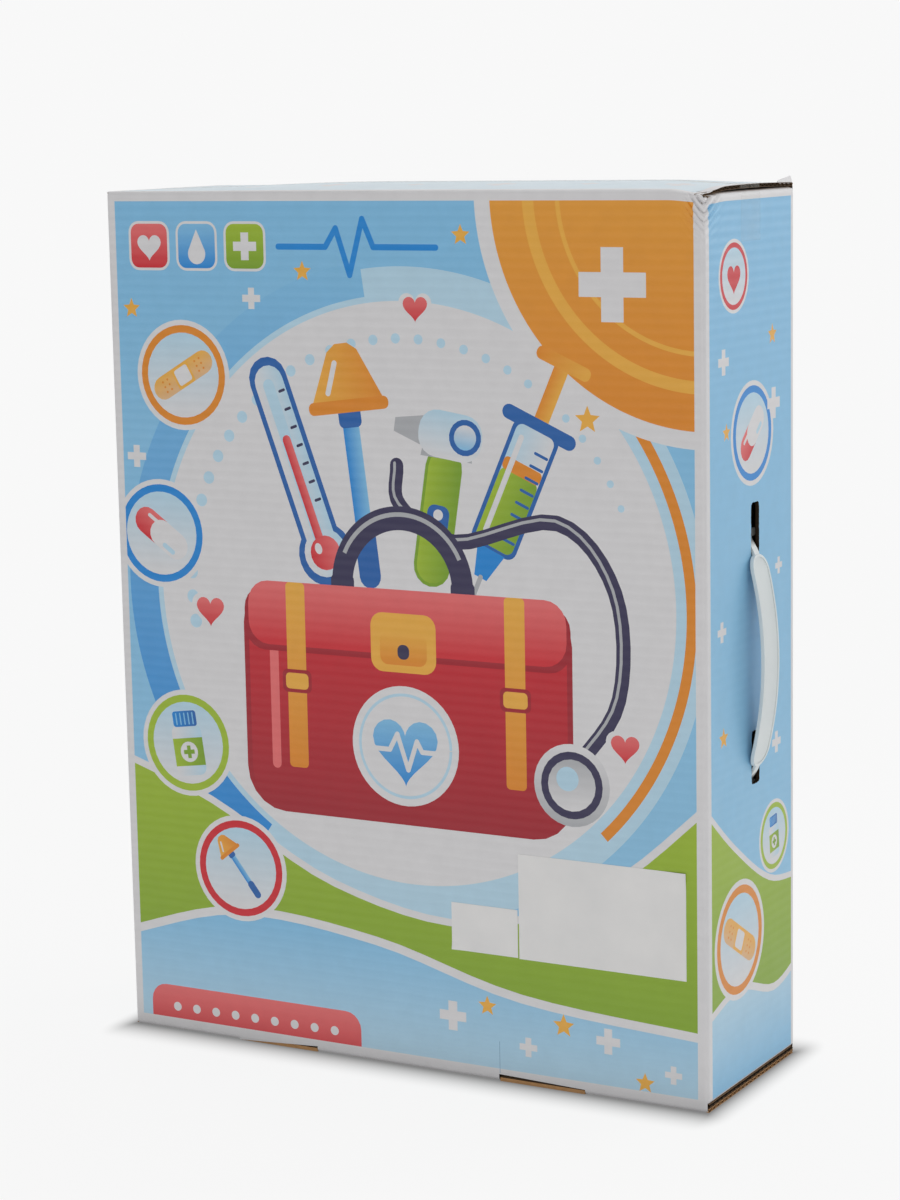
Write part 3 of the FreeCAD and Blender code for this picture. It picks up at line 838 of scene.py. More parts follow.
class Board:
    """A panel or flap: a sheet with two directions of its own, seen from outside the carton."""

    def __init__(self, corner, along, across, width, height, folds, outline=None):
        self.corner = Vector(corner)
        self.along = along
        self.across = across
        self.outward = along.cross(across)
        self.width = width
        self.height = height
        self.folds = folds
        self.outline = outline or rectangle((0, width), (0, height))

    def at(self, place, depth):
        """Where a place of the flat sheet lies, at a depth under its outside."""
        folds = self.folds
        along, depth_along = roll(place[0], self.width, "left" in folds, "right" in folds, depth)
        across, depth_across = roll(place[1], self.height, "foot" in folds, "head" in folds, depth)
        sunk = depth_along + depth_across - depth
        return damage(self.corner + self.along * along + self.across * across - self.outward * sunk)

    def upright(self, place):
        return (place, 0), (place, self.height)

    def level(self, place):
        return (0, place), (self.width, place)

    def fold_lines(self):
        """Lines beside each fold, so that its roll has faces to bend and the flat next to it stays flat."""
        steps = [CREASE_RADIUS * step / CREASE_STEPS for step in range(1, CREASE_STEPS + 1)]
        lines = []
        for distance in steps + [CREASE_RADIUS + CREASE_GUARD]:
            ends = {"left": self.upright(distance), "right": self.upright(self.width - distance),
                    "foot": self.level(distance), "head": self.level(self.height - distance)}
            lines += [ends[fold] for fold in self.folds]
        if self.outward.z > 0:
            lines += [self.level(place) for place in between(self.height, FLAP_BEND_STEP)]
            lines += [self.upright(place) for place in between(self.width, LID_GRID)]
        return lines

    def damaged(self, place):
        """Whether a place lies in the pinched corner."""
        flat = self.corner + self.along * place[0] + self.across * place[1]
        reach = PINCH_REACHES[1] + DAMAGE_GRID
        near = RIGHT - flat.x < reach and flat.y - FRONT < reach
        return near and TOP - flat.z < PINCH_DROP + DAMAGE_GRID

    def damage_points(self):
        """A fine grid over the pinched corner, clear of the folds."""
        points = []
        clear = CREASE_RADIUS + CREASE_GUARD
        for row in range(int(self.height / DAMAGE_GRID)):
            for column in range(int(self.width / DAMAGE_GRID)):
                x, z = (column + 0.5) * DAMAGE_GRID, (row + 0.5) * DAMAGE_GRID
                ends = {"left": x, "right": self.width - x, "foot": z, "head": self.height - z}
                if self.damaged((x, z)) and min(ends[fold] for fold in self.folds) > clear:
                    points.append((x, z))
        return points

    def bent_edge(self, start, end):
        """The points of an edge, with close ones where it crosses the pinched corner, without its end."""
        start, end = Vector(start), Vector(end)
        count = max(1, int((end - start).length / DAMAGE_GRID))
        row = [start.lerp(end, step / count) for step in range(1, count)]
        return [start] + [place for place in row if self.damaged(place)]


def inside(outline, points):
    """Which points lie inside an outline: a line to the right of them crosses it an odd number of times."""
    found = numpy.zeros(len(points), bool)
    x, z = points[:, 0], points[:, 1]
    for (x1, z1), (x2, z2) in zip(outline, outline[1:] + outline[:1]):
        if z1 != z2:
            crossed = ((z1 > z) != (z2 > z)) & (x < x1 + (z - z1) * (x2 - x1) / (z2 - z1))
            found ^= crossed
    return found


def span_at(outline, across):
    """Where a row across the outline starts and ends."""
    crossings = []
    for (x1, z1), (x2, z2) in zip(outline, outline[1:] + outline[:1]):
        if min(z1, z2) - CUT_TOLERANCE <= across <= max(z1, z2) + CUT_TOLERANCE and z1 != z2:
            crossings.append(x1 + (x2 - x1) * (across - z1) / (z2 - z1))
    return min(crossings), max(crossings)


class Shell:
    """Points and faces of one piece. Each face has a material, and each of its corners an ink."""

    def __init__(self, *materials):
        self.materials = materials
        self.points = []
        self.places = []
        self.faces = []

    def add_point(self, point, place):
        self.points.append(point)
        self.places.append(tuple(place))

    def add_face(self, corners, material, inks=None):
        self.faces.append((corners, material, inks or [INKS["white"]] * len(corners)))

    def slab(self, board, depths, art=None, holes=(), materials=(0, 1, 2)):
        """A sheet of the board between two depths.

        The materials are for its outside, its inside and its cut edges.
        """
        layers = art.layers if art else []
        printed = [[(x + board.width / 2, z) for x, z in layer[0]] for layer in layers]
        flat, triangles = self.cut(board, [board.outline, *printed, *holes])
        corners = [[flat[index] for index in triangle] for triangle in triangles]
        middles = numpy.array([sum(points, Vector((0, 0))) / 3 for points in corners])
        kept = inside(board.outline, middles)
        for hole in holes:
            kept &= ~inside(hole, middles)
        owners = numpy.full(len(triangles), -1)
        for index, outline in enumerate(printed):
            owners[inside(outline, middles)] = index
        outer = len(self.points)
        inner = outer + len(flat)
        for depth in depths:
            for place in flat:
                self.add_point(board.at(place, depth), place)
        rim = set()
        for triangle, keep, owner in zip(triangles, kept, owners):
            if not keep:
                continue
            inks = None
            if owner >= 0:
                inks = [self.ink(layers[owner], board, flat[index]) for index in triangle]
            self.add_face([outer + index for index in triangle], materials[0], inks)
            self.add_face([inner + index for index in reversed(triangle)], materials[1])
            for start, end in zip(triangle, list(triangle[1:]) + [triangle[0]]):
                if (end, start) in rim:
                    rim.remove((end, start))
                else:
                    rim.add((start, end))
        for start, end in rim:
            self.add_face([outer + end, outer + start, inner + start, inner + end], materials[2])

    def cut(self, board, outlines):
        """Points and triangles of the flat sheet, cut along outlines and fold lines."""
        points, edges = [], []
        for outline in outlines:
            ring = []
            for start, end in zip(outline, outline[1:] + outline[:1]):
                ring += board.bent_edge(start, end)
            first, count = len(points), len(ring)
            edges += [(first + step, first + (step + 1) % count) for step in range(count)]
            points += ring
        for start, end in board.fold_lines():
            row = board.bent_edge(start, end) + [Vector(end)]
            edges += [(len(points) + step, len(points) + step + 1) for step in range(len(row) - 1)]
            points += row
        if board.folds:
            points += [Vector(place) for place in board.damage_points()]
        flat, _, triangles, _, _, _ = delaunay_2d_cdt(points, edges, [], 0, CUT_TOLERANCE, False)
        return flat, triangles

    def ink(self, layer, board, place):
        """A layer's ink at a place: it fades evenly from one end of the layer to the other."""
        outline, first, last, way = layer
        reaches = [x * way[0] + z * way[1] for x, z in outline]
        reach = (place[0] - board.width / 2) * way[0] + place[1] * way[1]
        share = (reach - min(reaches)) / ((max(reaches) - min(reaches)) or 1)
        return [low + (high - low) * share for low, high in zip(INKS[first], INKS[last])]

    def waves(self, board, material):
        """The waved sheet between the liners, cut to the board's outline."""
        mesh = waved_sheet(board.width, board.height - CREASE_WALL)
        base = len(self.points)
        for vertex in mesh.vertices:
            along, across, rise = vertex.co / MM
            across += (board.height + CREASE_WALL) / 2
            low, high = span_at(board.outline, across)
            along = low + (along / board.width + 0.5) * (high - low)
            self.add_point(board.at((along, across), BOARD / 2 - rise), (along, across))
        for polygon_face in mesh.polygons:
            self.add_face([base + index for index in polygon_face.vertices], material)
        bpy.data.meshes.remove(mesh)

    def flap(self, board, art):
        """Three plies: a printed liner, the waved sheet and a plain liner, closed at the crease."""
        self.slab(board, (0, LINER), art)
        self.slab(board, (BOARD - LINER, BOARD), materials=(1, 1, 2))
        strip = Board(board.corner, board.along, board.across, board.width, board.height, board.folds,
                      rectangle((0, board.width), (0, CREASE_WALL)))
        self.slab(strip, (LINER, BOARD - LINER), materials=(1, 1, 1))
        self.waves(board, 2)

    def closed_sheet(self, rows, columns):
        """Faces of a thin sheet whose outer points come first, row by row, and then its inner points."""
        inner = rows * columns
        for row in range(rows - 1):
            for column in range(columns - 1):
                first = row * columns + column
                corners = [first, first + 1, first + columns + 1, first + columns]
                self.add_face(corners, 0)
                self.add_face([inner + index for index in reversed(corners)], 0)
        ring = list(range(columns))
        ring += [row * columns + columns - 1 for row in range(1, rows)]
        ring += [(rows - 1) * columns + column for column in range(columns - 2, -1, -1)]
        ring += [row * columns for row in range(rows - 2, 0, -1)]
        for start, end in zip(ring, ring[1:] + ring[:1]):
            self.add_face([end, start, inner + start, inner + end], 0)

    def piece(self, name):
        """An object of the points and faces, with each point's place on the flat sheet and each ink."""
        mesh = bpy.data.meshes.new(name)
        mesh.from_pydata([point * MM for point in self.points], [], [face[0] for face in self.faces])
        for material in self.materials:
            mesh.materials.append(material)
        mesh.polygons.foreach_set("material_index", [face[1] for face in self.faces])
        mesh.uv_layers.new(name="sheet")
        mesh.color_attributes.new("ink", "FLOAT_COLOR", "CORNER")
        corners = [index for face in self.faces for index in face[0]]
        places = [value * MM for index in corners for value in self.places[index]]
        colours = [value for face in self.faces for colour in face[2] for value in (*colour, 1)]
        mesh.uv_layers["sheet"].uv.foreach_set("vector", places)
        mesh.color_attributes["ink"].data.foreach_set("color", colours)
        return finished(mesh, name, BOARD_SHARP_ANGLE)


def linked(name, data):
    """An object of a mesh, lamp or camera, in the scene."""
    made = bpy.data.objects.new(name, data)
    bpy.context.scene.collection.objects.link(made)
    return made


def evaluated_mesh(piece):
    """A plain mesh of an object with its modifiers applied. The object is removed."""
    graph = bpy.context.evaluated_depsgraph_get()
    mesh = bpy.data.meshes.new_from_object(piece.evaluated_get(graph))
    bpy.data.objects.remove(piece)
    return mesh


def finished(mesh, name, sharp_angle):
    """An object of a mesh, with loose points gone, smooth but for its sharp edges."""
    work = bmesh.new()
    work.from_mesh(mesh)
    loose = [vertex for vertex in work.verts if not vertex.link_faces]
    bmesh.ops.delete(work, geom=loose, context="VERTS")
    bmesh.ops.dissolve_degenerate(work, dist=CUT_TOLERANCE * MM, edges=work.edges)
    work.to_mesh(mesh)
    work.free()
    mesh.shade_smooth()
    mesh.set_sharp_from_angle(angle=sharp_angle)
    return linked(name, mesh)


# The waved sheet

def wave_tree():
    """Geometry nodes that make a sheet of paper with even waves across it."""
    tree = bpy.data.node_groups.new("waved_sheet", "GeometryNodeTree")
    inputs = {"NodeSocketFloat": ("Length", "Width", "Pitch", "Rise", "Paper"),
              "NodeSocketInt": ("Stations", "Rows"), "NodeSocketMaterial": ("Material",)}
    for kind, names in inputs.items():
        for name in names:
            tree.interface.new_socket(name, in_out="INPUT", socket_type=kind)
    tree.interface.new_socket("Sheet", in_out="OUTPUT", socket_type="NodeSocketGeometry")
    nodes, links = tree.nodes, tree.links
    given = nodes.new("NodeGroupInput")
    grid = nodes.new("GeometryNodeMeshGrid")
    grid_sizes = {"Size X": "Length", "Size Y": "Width", "Vertices X": "Stations", "Vertices Y": "Rows"}
    for socket, name in grid_sizes.items():
        links.new(given.outputs[name], grid.inputs[socket])

    def math_node(operation, first, second=None):
        node = nodes.new("ShaderNodeMath")
        node.operation = operation
        for socket, value in zip(node.inputs, (first, second)):
            if isinstance(value, (int, float)):
                socket.default_value = value
            elif value is not None:
                links.new(value, socket)
        return node.outputs[0]

    def raised(geometry, height):
        offset = nodes.new("ShaderNodeCombineXYZ")
        links.new(height, offset.inputs["Z"])
        move = nodes.new("GeometryNodeSetPosition")
        links.new(geometry, move.inputs["Geometry"])
        links.new(offset.outputs[0], move.inputs["Offset"])
        return move.outputs[0]

    split = nodes.new("ShaderNodeSeparateXYZ")
    links.new(nodes.new("GeometryNodeInputPosition").outputs[0], split.inputs[0])
    turns = math_node("DIVIDE", split.outputs["Y"], given.outputs["Pitch"])
    wave = math_node("SINE", math_node("MULTIPLY", turns, math.tau))
    bent = raised(grid.outputs["Mesh"], math_node("MULTIPLY", wave, given.outputs["Rise"]))
    sides = nodes.new("GeometryNodeJoinGeometry")
    for side in (-1, 1):
        face = raised(bent, math_node("MULTIPLY", given.outputs["Paper"], side / 2))
        if side < 0:
            flip = nodes.new("GeometryNodeFlipFaces")
            links.new(face, flip.inputs[0])
            face = flip.outputs[0]
        links.new(face, sides.inputs[0])
    realize = nodes.new("GeometryNodeRealizeInstances")
    links.new(sides.outputs[0], realize.inputs[0])
    paint = nodes.new("GeometryNodeSetMaterial")
    links.new(realize.outputs[0], paint.inputs["Geometry"])
    links.new(given.outputs["Material"], paint.inputs["Material"])
    result = nodes.new("NodeGroupOutput")
    links.new(paint.outputs[0], result.inputs[0])
    return tree


def waved_sheet(length, width):
    """A mesh of the waved sheet, in metres, lying flat about the origin with its waves along x."""
    piece = linked("waves", bpy.data.meshes.new("waves"))
    modifier = piece.modifiers.new("waves", "NODES")
    modifier.node_group = WAVE_TREE
    rows = int(width / WAVE_PITCH * WAVE_STEPS)
    rise = (BOARD - 2 * LINER - WAVE_PAPER) / 2
    values = {"Length": length * MM, "Width": width * MM, "Pitch": WAVE_PITCH * MM, "Rise": rise * MM,
              "Paper": WAVE_PAPER * MM, "Stations": WAVE_STATIONS, "Rows": rows, "Material": KRAFT_EDGE_SHADE}
    for item in WAVE_TREE.interface.items_tree:
        if item.in_out == "INPUT":
            modifier[item.identifier] = values[item.name]
    piece.update_tag()
    mesh = evaluated_mesh(piece)
    work = bmesh.new()
    work.from_mesh(mesh)
    rim = [edge for edge in work.edges if edge.is_boundary]
    bmesh.ops.bridge_loops(work, edges=rim)
    work.to_mesh(mesh)
    work.free()
    return mesh


# Materials

class Shade:
    """A material's nodes around its principled shader."""

    def __init__(self, name, specular):
        self.material = bpy.data.materials.new(name)
        self.material.use_nodes = True
        self.nodes = self.material.node_tree.nodes
        self.links = self.material.node_tree.links
        self.shader = self.nodes["Principled BSDF"]
        self.set("Specular IOR Level", specular)

    def set(self, socket, value):
        """A value, or another node's output, for one of the shader's sockets."""
        self.feed(value, self.shader.inputs[socket])

    def feed(self, value, socket):
        if isinstance(value, bpy.types.NodeSocket):
            self.links.new(value, socket)
        else:
            socket.default_value = value

    def node(self, kind, inputs=None, **settings):
        node = self.nodes.new(kind)
        for name, value in settings.items():
            setattr(node, name, value)
        for name, value in (inputs or {}).items():
            self.feed(value, node.inputs[name])
        return node

    def place(self):
        return self.node("ShaderNodeTexCoord").outputs["Object"]

    def sheet(self):
        return self.node("ShaderNodeUVMap", uv_map="sheet").outputs[0]

    def part(self, vector, axis):
        return self.node("ShaderNodeSeparateXYZ", {"Vector": vector}).outputs[axis]

    def stretched(self, place, scale):
        return self.node("ShaderNodeMapping", {"Vector": place, "Scale": scale}).outputs[0]

    def noise(self, place, scale, detail=PLAIN_DETAIL, roughness=PLAIN_ROUGHNESS):
        settings = {"Vector": place, "Scale": scale, "Detail": detail, "Roughness": roughness}
        return self.node("ShaderNodeTexNoise", settings).outputs["Fac"]

    def ramp(self, value, low, high, kind="LINEAR"):
        """Values from low to high spread over 0 to 1."""
        settings = {"Value": value, "From Min": low, "From Max": high}
        return self.node("ShaderNodeMapRange", settings, interpolation_type=kind).outputs[0]

    def spread(self, value, low, high):
        """A value from 0 to 1 spread over low to high."""
        return self.node("ShaderNodeMapRange", {"Value": value, "To Min": low, "To Max": high}).outputs[0]

    def vector(self, operation, first, second=(0, 0, 0)):
        node = self.node("ShaderNodeVectorMath", {0: first, 1: second}, operation=operation)
        return node.outputs["Value" if operation == "LENGTH" else "Vector"]

    def calculate(self, operation, first, second=0):
        return self.node("ShaderNodeMath", {0: first, 1: second}, operation=operation).outputs[0]

    def added(self, first, second):
        return self.calculate("ADD", first, second)

    def times(self, first, second):
        return self.calculate("MULTIPLY", first, second)

    def mix(self, share, first, second, blend="MIX"):
        node = self.node("ShaderNodeMix", data_type="RGBA", blend_type=blend)
        self.feed(share, node.inputs["Factor"])
        for value, socket in ((first, node.inputs[6]), (second, node.inputs[7])):
            self.feed(value if isinstance(value, bpy.types.NodeSocket) else (*value, 1), socket)
        return node.outputs[2]

    def flutes(self, depth):
        """Faint ridges that the waved sheet presses through the liner, uneven along the board."""
        sheet = self.sheet()
        uneven = self.noise(self.stretched(sheet, FLUTE_STRETCH), 1)
        wander = self.spread(uneven, -FLUTE_WANDER * MM, FLUTE_WANDER * MM)
        turns = self.times(self.added(self.part(sheet, "Y"), wander), math.tau / (WAVE_PITCH * MM))
        strength = self.spread(self.noise(sheet, FLUTE_PATCH_SCALE), FLUTE_FAINT_SHARE * depth, depth)
        return self.times(self.calculate("SINE", turns), strength)

    def bump(self, height, distance):
        settings = {"Height": height, "Distance": distance * MM, "Strength": 1}
        self.set("Normal", self.node("ShaderNodeBump", settings).outputs[0])


def printed_paper():
    shade = Shade("printed_paper", PRINT_SPECULAR)
    place = shade.place()
    ink = shade.node("ShaderNodeVertexColor", layer_name="ink").outputs["Color"]
    mottle = shade.spread(shade.noise(place, *PRINT_MOTTLE), *PRINT_MOTTLE_SHARES)
    grey = shade.node("ShaderNodeCombineColor", {"Red": mottle, "Green": mottle, "Blue": mottle}).outputs[0]
    shade.set("Base Color", shade.mix(1, ink, grey, "MULTIPLY"))
    shade.set("Roughness", shade.spread(shade.noise(place, *PRINT_SHEEN), *PRINT_ROUGHNESS))
    swell = shade.times(shade.noise(place, *PRINT_SWELL), PRINT_SWELL_SHARE)
    grain = shade.times(shade.noise(place, *PRINT_GRAIN), PRINT_GRAIN_SHARE)
    shade.bump(shade.added(shade.added(shade.flutes(PRINT_FLUTE_SHARE), swell), grain), PRINT_BUMP)
    return shade.material


def kraft(name, colour, dark_share, speckle_share):
    """Brown paper with fibres of a darker tone, and with pale flecks."""
    shade = Shade(name, KRAFT_SPECULAR)
    place = shade.place()

    def tone(share):
        return [value * share for value in colour]

    fibres = shade.noise(shade.stretched(place, KRAFT_FIBRE_STRETCH), *KRAFT_FIBRES)
    patches = shade.ramp(shade.noise(place, *KRAFT_PATCHES), *KRAFT_PATCH_ENDS)
    base = shade.mix(patches, colour, tone(KRAFT_PATCH_SHARE))
    base = shade.mix(shade.ramp(fibres, *KRAFT_FIBRE_ENDS), base, tone(dark_share))
    flecks = shade.ramp(shade.noise(place, *KRAFT_FLECKS), *KRAFT_FLECK_ENDS)
    shade.set("Base Color", shade.mix(shade.times(flecks, speckle_share), base, tone(KRAFT_FLECK_SHARE)))
    shade.set("Roughness", shade.spread(fibres, *KRAFT_ROUGHNESS))
    grain = shade.times(shade.noise(place, *KRAFT_GRAIN), KRAFT_GRAIN_SHARE)
    shade.bump(shade.added(fibres, grain), KRAFT_BUMP)
    return shade.material


def satin_plastic():
    """White plastic, with painted shade where it sits behind the board."""
    shade = Shade("satin_plastic", PLASTIC_SPECULAR)
    place = shade.place()
    cloud = shade.ramp(shade.noise(place, *PLASTIC_CLOUD), *CLOUD_ENDS)
    # Painted shade: the plastic turns dark behind the board, inside the case
    unshaded = shade.ramp(shade.part(place, "X"), (RIGHT - BOARD) * MM, RIGHT * MM)
    shade.set("Base Color", shade.mix(unshaded, PLASTIC_PAINTED_SHADE, shade.mix(cloud, *PLASTIC_TINTS)))
    shade.set("Roughness", shade.spread(shade.noise(place, *PLASTIC_SHEEN), *PLASTIC_ROUGHNESS))
    scratches = shade.noise(shade.stretched(place, PLASTIC_SCRATCH_STRETCH), *PLASTIC_SCRATCHES)
    scratches = shade.times(scratches, PLASTIC_SCRATCH_SHARE)
    shade.bump(shade.added(shade.noise(place, *PLASTIC_GRAIN), scratches), PLASTIC_BUMP)
    return shade.material


def clear_film():
    shade = Shade("clear_film", FILM_SPECULAR)
    place = shade.place()
    haze = shade.noise(shade.stretched(place, FILM_HAZE_STRETCH), *FILM_HAZE)
    shade.set("Base Color", shade.mix(haze, *FILM_TINTS))
    shade.set("Alpha", shade.spread(haze, *FILM_ALPHAS))
    shade.set("Roughness", shade.spread(shade.noise(place, *FILM_SHEEN), *FILM_ROUGHNESS))
    shade.bump(shade.noise(shade.stretched(place, FILM_RIPPLE_STRETCH), *FILM_RIPPLES), FILM_BUMP)
    return shade.material


def label_paper():
    shade = Shade("label_paper", LABEL_SPECULAR)
    place = shade.place()
    cloud = shade.ramp(shade.noise(place, *LABEL_CLOUD), *CLOUD_ENDS)
    shade.set("Base Color", shade.mix(cloud, *LABEL_TINTS))
    shade.set("Roughness", shade.spread(shade.noise(place, *LABEL_SHEEN), *LABEL_ROUGHNESS))
    shade.bump(shade.added(shade.noise(place, *LABEL_GRAIN), shade.noise(place, *LABEL_SWELL)), LABEL_BUMP)
    return shade.material


def sweep_paper():
    """The pale floor: an even glow, a little of the studio's light, and a soft shadow along the foot."""
    shade = Shade("studio_sweep", FLOOR_SPECULAR)
    place = shade.place()
    shade.set("Base Color", shade.mix(shade.noise(place, *FLOOR_CLOUD), *FLOOR_TINTS))
    shade.set("Roughness", FLOOR_ROUGHNESS)
    far = shade.ramp(shade.vector("LENGTH", place), FLOOR_NEAR * MM, FLOOR_FAR * MM, "SMOOTHSTEP")
    half = [size / 2 * MM for size in (WIDTH, DEPTH, FLOOR_FAR)]
    outside = shade.vector("MAXIMUM", shade.vector("SUBTRACT", shade.vector("ABSOLUTE", place), half))
    reaches = [reach * MM for reach in FLOOR_SHADOW_REACHES]
    near = shade.ramp(shade.vector("LENGTH", shade.vector("DIVIDE", outside, reaches)), 1, 0)
    shadow = shade.times(shade.calculate("POWER", near, FLOOR_SHADOW_POWER), FLOOR_SHADOW_SHARE)
    strength = shade.times(shade.calculate("SUBTRACT", 1, shadow), shade.spread(far, *FLOOR_GLOWS))
    glow = shade.node("ShaderNodeEmission", {"Strength": strength}).outputs[0]
    share = shade.spread(far, FLOOR_GLOW_SHARE, 1)
    blend = shade.node("ShaderNodeMixShader", {0: share, 1: shade.shader.outputs[0], 2: glow})
    shade.feed(blend.outputs[0], shade.nodes["Material Output"].inputs["Surface"])
    return shade.material


PRINT = printed_paper()
KRAFT_FACE = kraft("kraft_liner", *LINER_KRAFT)
# Edge kraft: darker tone and painted shade of the flute hollows
KRAFT_EDGE_SHADE = kraft("kraft_edge_shade", *EDGE_SHADE_KRAFT)
# Painted shade: nearly black kraft
KRAFT_DEEP_SHADE = kraft("kraft_deep_shade", *DEEP_SHADE_KRAFT)
# Painted light: a lit copy of the kraft
KRAFT_LIT_FOOT = kraft("kraft_lit_foot", *LIT_FOOT_KRAFT)
PLASTIC = satin_plastic()
FILM = clear_film()
PAPER = label_paper()
WAVE_TREE = wave_tree()

# The four walls, each seen from outside, from its lower left corner
FRONT_BOARD = Board((LEFT, FRONT, FOOT), X_AXIS, Z_AXIS, WIDTH, HEIGHT, ALL_FOLDS)
BACK_BOARD = Board((RIGHT, BACK, BACK_FOOT), -X_AXIS, Z_AXIS, WIDTH, BACK_HEIGHT, ALL_FOLDS)
RIGHT_BOARD = Board((RIGHT, FRONT, SIDE_FOOT), Y_AXIS, Z_AXIS, DEPTH, SIDE_HEIGHT, ALL_FOLDS)
LEFT_BOARD = Board((LEFT, BACK, SIDE_FOOT), -Y_AXIS, Z_AXIS, DEPTH, SIDE_HEIGHT, ALL_FOLDS)


# Pieces

def board_piece(name, body, shell):
    piece = shell.piece(name + "_board")
    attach(piece, body)
    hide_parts(name)
    return piece


def lock_ranges(clearance):
    """Where the two lock tabs start and end along the front, with room beside them."""
    half = LOCK_WIDTH / 2 + clearance
    middles = [WIDTH / 2 + side * LOCK_OFFSET for side in (-1, 1)]
    return [(middle - half, middle + half) for middle in middles]


def slot_outline(middle):
    """A punched slot whose edge is torn."""
    half_width, half_length = SLOT_WIDTH / 2, SLOT_LENGTH / 2
    outline = []
    for step in range(SLOT_POINTS):
        turn = math.tau * step / SLOT_POINTS
        x, z = math.cos(turn), math.sin(turn)
        reach = (abs(x) ** SLOT_SQUARENESS + abs(z) ** SLOT_SQUARENESS) ** (-1 / SLOT_SQUARENESS)
        torn_place = Vector((SLOT_TEAR_SCALES[0] * x, SLOT_TEAR_SCALES[1] * z, middle[1]))
        tear = SLOT_TEAR * (1 + noise.noise(torn_place)) / 2
        across = middle[0] + (half_width + tear) * reach * x
        outline.append((across, middle[1] + (half_length + tear) * reach * z))
    return outline


def panels():
    lock_top = BACK_FOOT + BOARD + LOCK_CLEARANCE
    locks = [rectangle(span, (-BOARD, lock_top)) for span in lock_ranges(LOCK_CLEARANCE)]
    slots = []
    for side in (-1, 1):
        height = HEIGHT / 2 + side * SLOT_SPACING / 2 - SIDE_FOOT
        slots.append(slot_outline((DEPTH / 2 + SLOT_SHIFT, height)))
    plan = (("front_panel", FRONT_BOARD, large_art(), LARGE_MARGINS, locks),
            ("back_panel", BACK_BOARD, large_art(), LARGE_MARGINS, ()),
            ("right_side_panel", RIGHT_BOARD, side_art(), SIDE_MARGINS, slots),
            ("left_side_panel", LEFT_BOARD, side_art(), SIDE_MARGINS, ()))
    for name, board, art, margins, holes in plan:
        # The panels' cut edges, slots and lock holes take nearly black kraft: painted shade
        shell = Shell(PRINT, KRAFT_FACE, KRAFT_DEEP_SHADE)
        border(art, board.width, board.height, *margins)
        if board is FRONT_BOARD:
            lock_lips(shell, lock_top)
            # A thin line of painted shade along the crease at the end of a lock slot
            mark = LOCK_OFFSET - LOCK_WIDTH / 2
            art.draw([("crease", rectangle, (mark, mark + LOCK_CREASE_SHADE_WIDTH), (lock_top, LOCK_CREASE_SHADE_HEIGHT))])
        shell.slab(board, (0, BOARD), art, holes)
        board_piece(name, "carton", shell)


def lock_lips(shell, lock_top):
    """The front liner's lower edge, which hangs aslant over the lock slots."""
    for (left, right), (left_height, right_height) in zip(lock_ranges(LOCK_CLEARANCE), LOCK_LIPS):
        outline = [(left, left_height), (right, right_height), (right, lock_top), (left, lock_top)]
        lip = Board(FRONT_BOARD.corner, X_AXIS, Z_AXIS, WIDTH, HEIGHT, (), outline)
        shell.slab(lip, (0, LINER), materials=(0, 0, 0))


def flap_board(name, corner, along, across, outline=None):
    """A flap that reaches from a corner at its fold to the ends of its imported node."""
    ends = [end - Vector(corner) for end in extent(name)]
    width, height = [max(end.dot(way) for end in ends) for way in (along, across)]
    shape = outline(width, height) if outline else None
    return Board(corner, along, across, width, height, ("foot",), shape)


def dust_outline(width, height):
    inset = height * DUST_BEVEL_SHARE
    return [(0, 0), (width, 0), (width - inset, height), (inset, height)]


def top_flaps():
    low, high = extent("top_front_flap")
    dust_low, dust_high = extent("top_right_dust_flap")
    right_corner = (RIGHT, dust_low.y, SIDE_TOP)
    left_corner = (LEFT, dust_high.y, SIDE_TOP)
    plan = (("top_front", FRONT_BOARD, (low.x, FRONT, TOP), X_AXIS, Y_AXIS, None),
            ("top_back", BACK_BOARD, (high.x, BACK, TOP), -X_AXIS, -Y_AXIS, None),
            ("top_right_dust", RIGHT_BOARD, right_corner, Y_AXIS, -X_AXIS, dust_outline),
            ("top_left_dust", LEFT_BOARD, left_corner, -Y_AXIS, X_AXIS, dust_outline))
    for body, panel, corner, along, across, outline in plan:
        name = body + "_flap"
        board = flap_board(name, corner, along, across, outline)
        art = border(flap_art(board.width, board.height), board.width, board.height, *FLAP_MARGINS)
        # The flaps' cut ends and waved sheets take the dark edge kraft: own tone and painted shade
        shell = Shell(PRINT, KRAFT_FACE, KRAFT_EDGE_SHADE)
        shell.flap(board, art)
        if panel is BACK_BOARD:
            torn_liner(shell)
        board_piece(name, body, shell)
        crease_skin(name, panel, board)


def torn_liner(shell):
    """A strip of the back flap's liner that stands up from its right end."""
    upward = Vector((-TORN_LEAN_SHARE, 0, 1)).normalized()
    corner = (RIGHT - TORN_INSET, BACK - TORN_LENGTH, TOP - TORN_SINK)
    size = [max(point[axis] for point in TORN_OUTLINE) for axis in (0, 1)]
    shell.slab(Board(corner, Y_AXIS, upward, *size, (), TORN_OUTLINE), (0, LINER), materials=(0, 0, 0))


def crease_skin(name, panel, flap):
    """The liner that runs through a crease, just inside the printed faces."""
    steps = CREASE_STEPS * 2
    shift = (panel.width - flap.width) / 2
    length = flap.width - 2 * CREASE_WALL
    columns = int(length / CREASE_SKIN_STEP)
    columns_along = [CREASE_WALL + length * step / columns for step in range(columns + 1)]
    rows = []
    for step in range(steps + 1):
        rows.append((panel, shift, panel.height - CREASE_SKIN_REACH * (1 - step / steps)))
    rows += [(flap, 0, CREASE_SKIN_REACH * step / steps) for step in range(1, steps + 1)]
    shell = Shell(PRINT)
    for depth in CREASE_SKIN_DEPTHS:
        for board, offset, across in rows:
            for along in columns_along:
                place = (along + offset, across)
                shell.add_point(board.at(place, depth), place)
    shell.closed_sheet(len(rows), columns + 1)
    piece = shell.piece(name + "_crease")
    start = panel.at((panel.width / 2, panel.height - CREASE_SKIN_REACH), 0)
    end = flap.at((flap.width / 2, CREASE_SKIN_REACH), 0)
    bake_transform(piece)


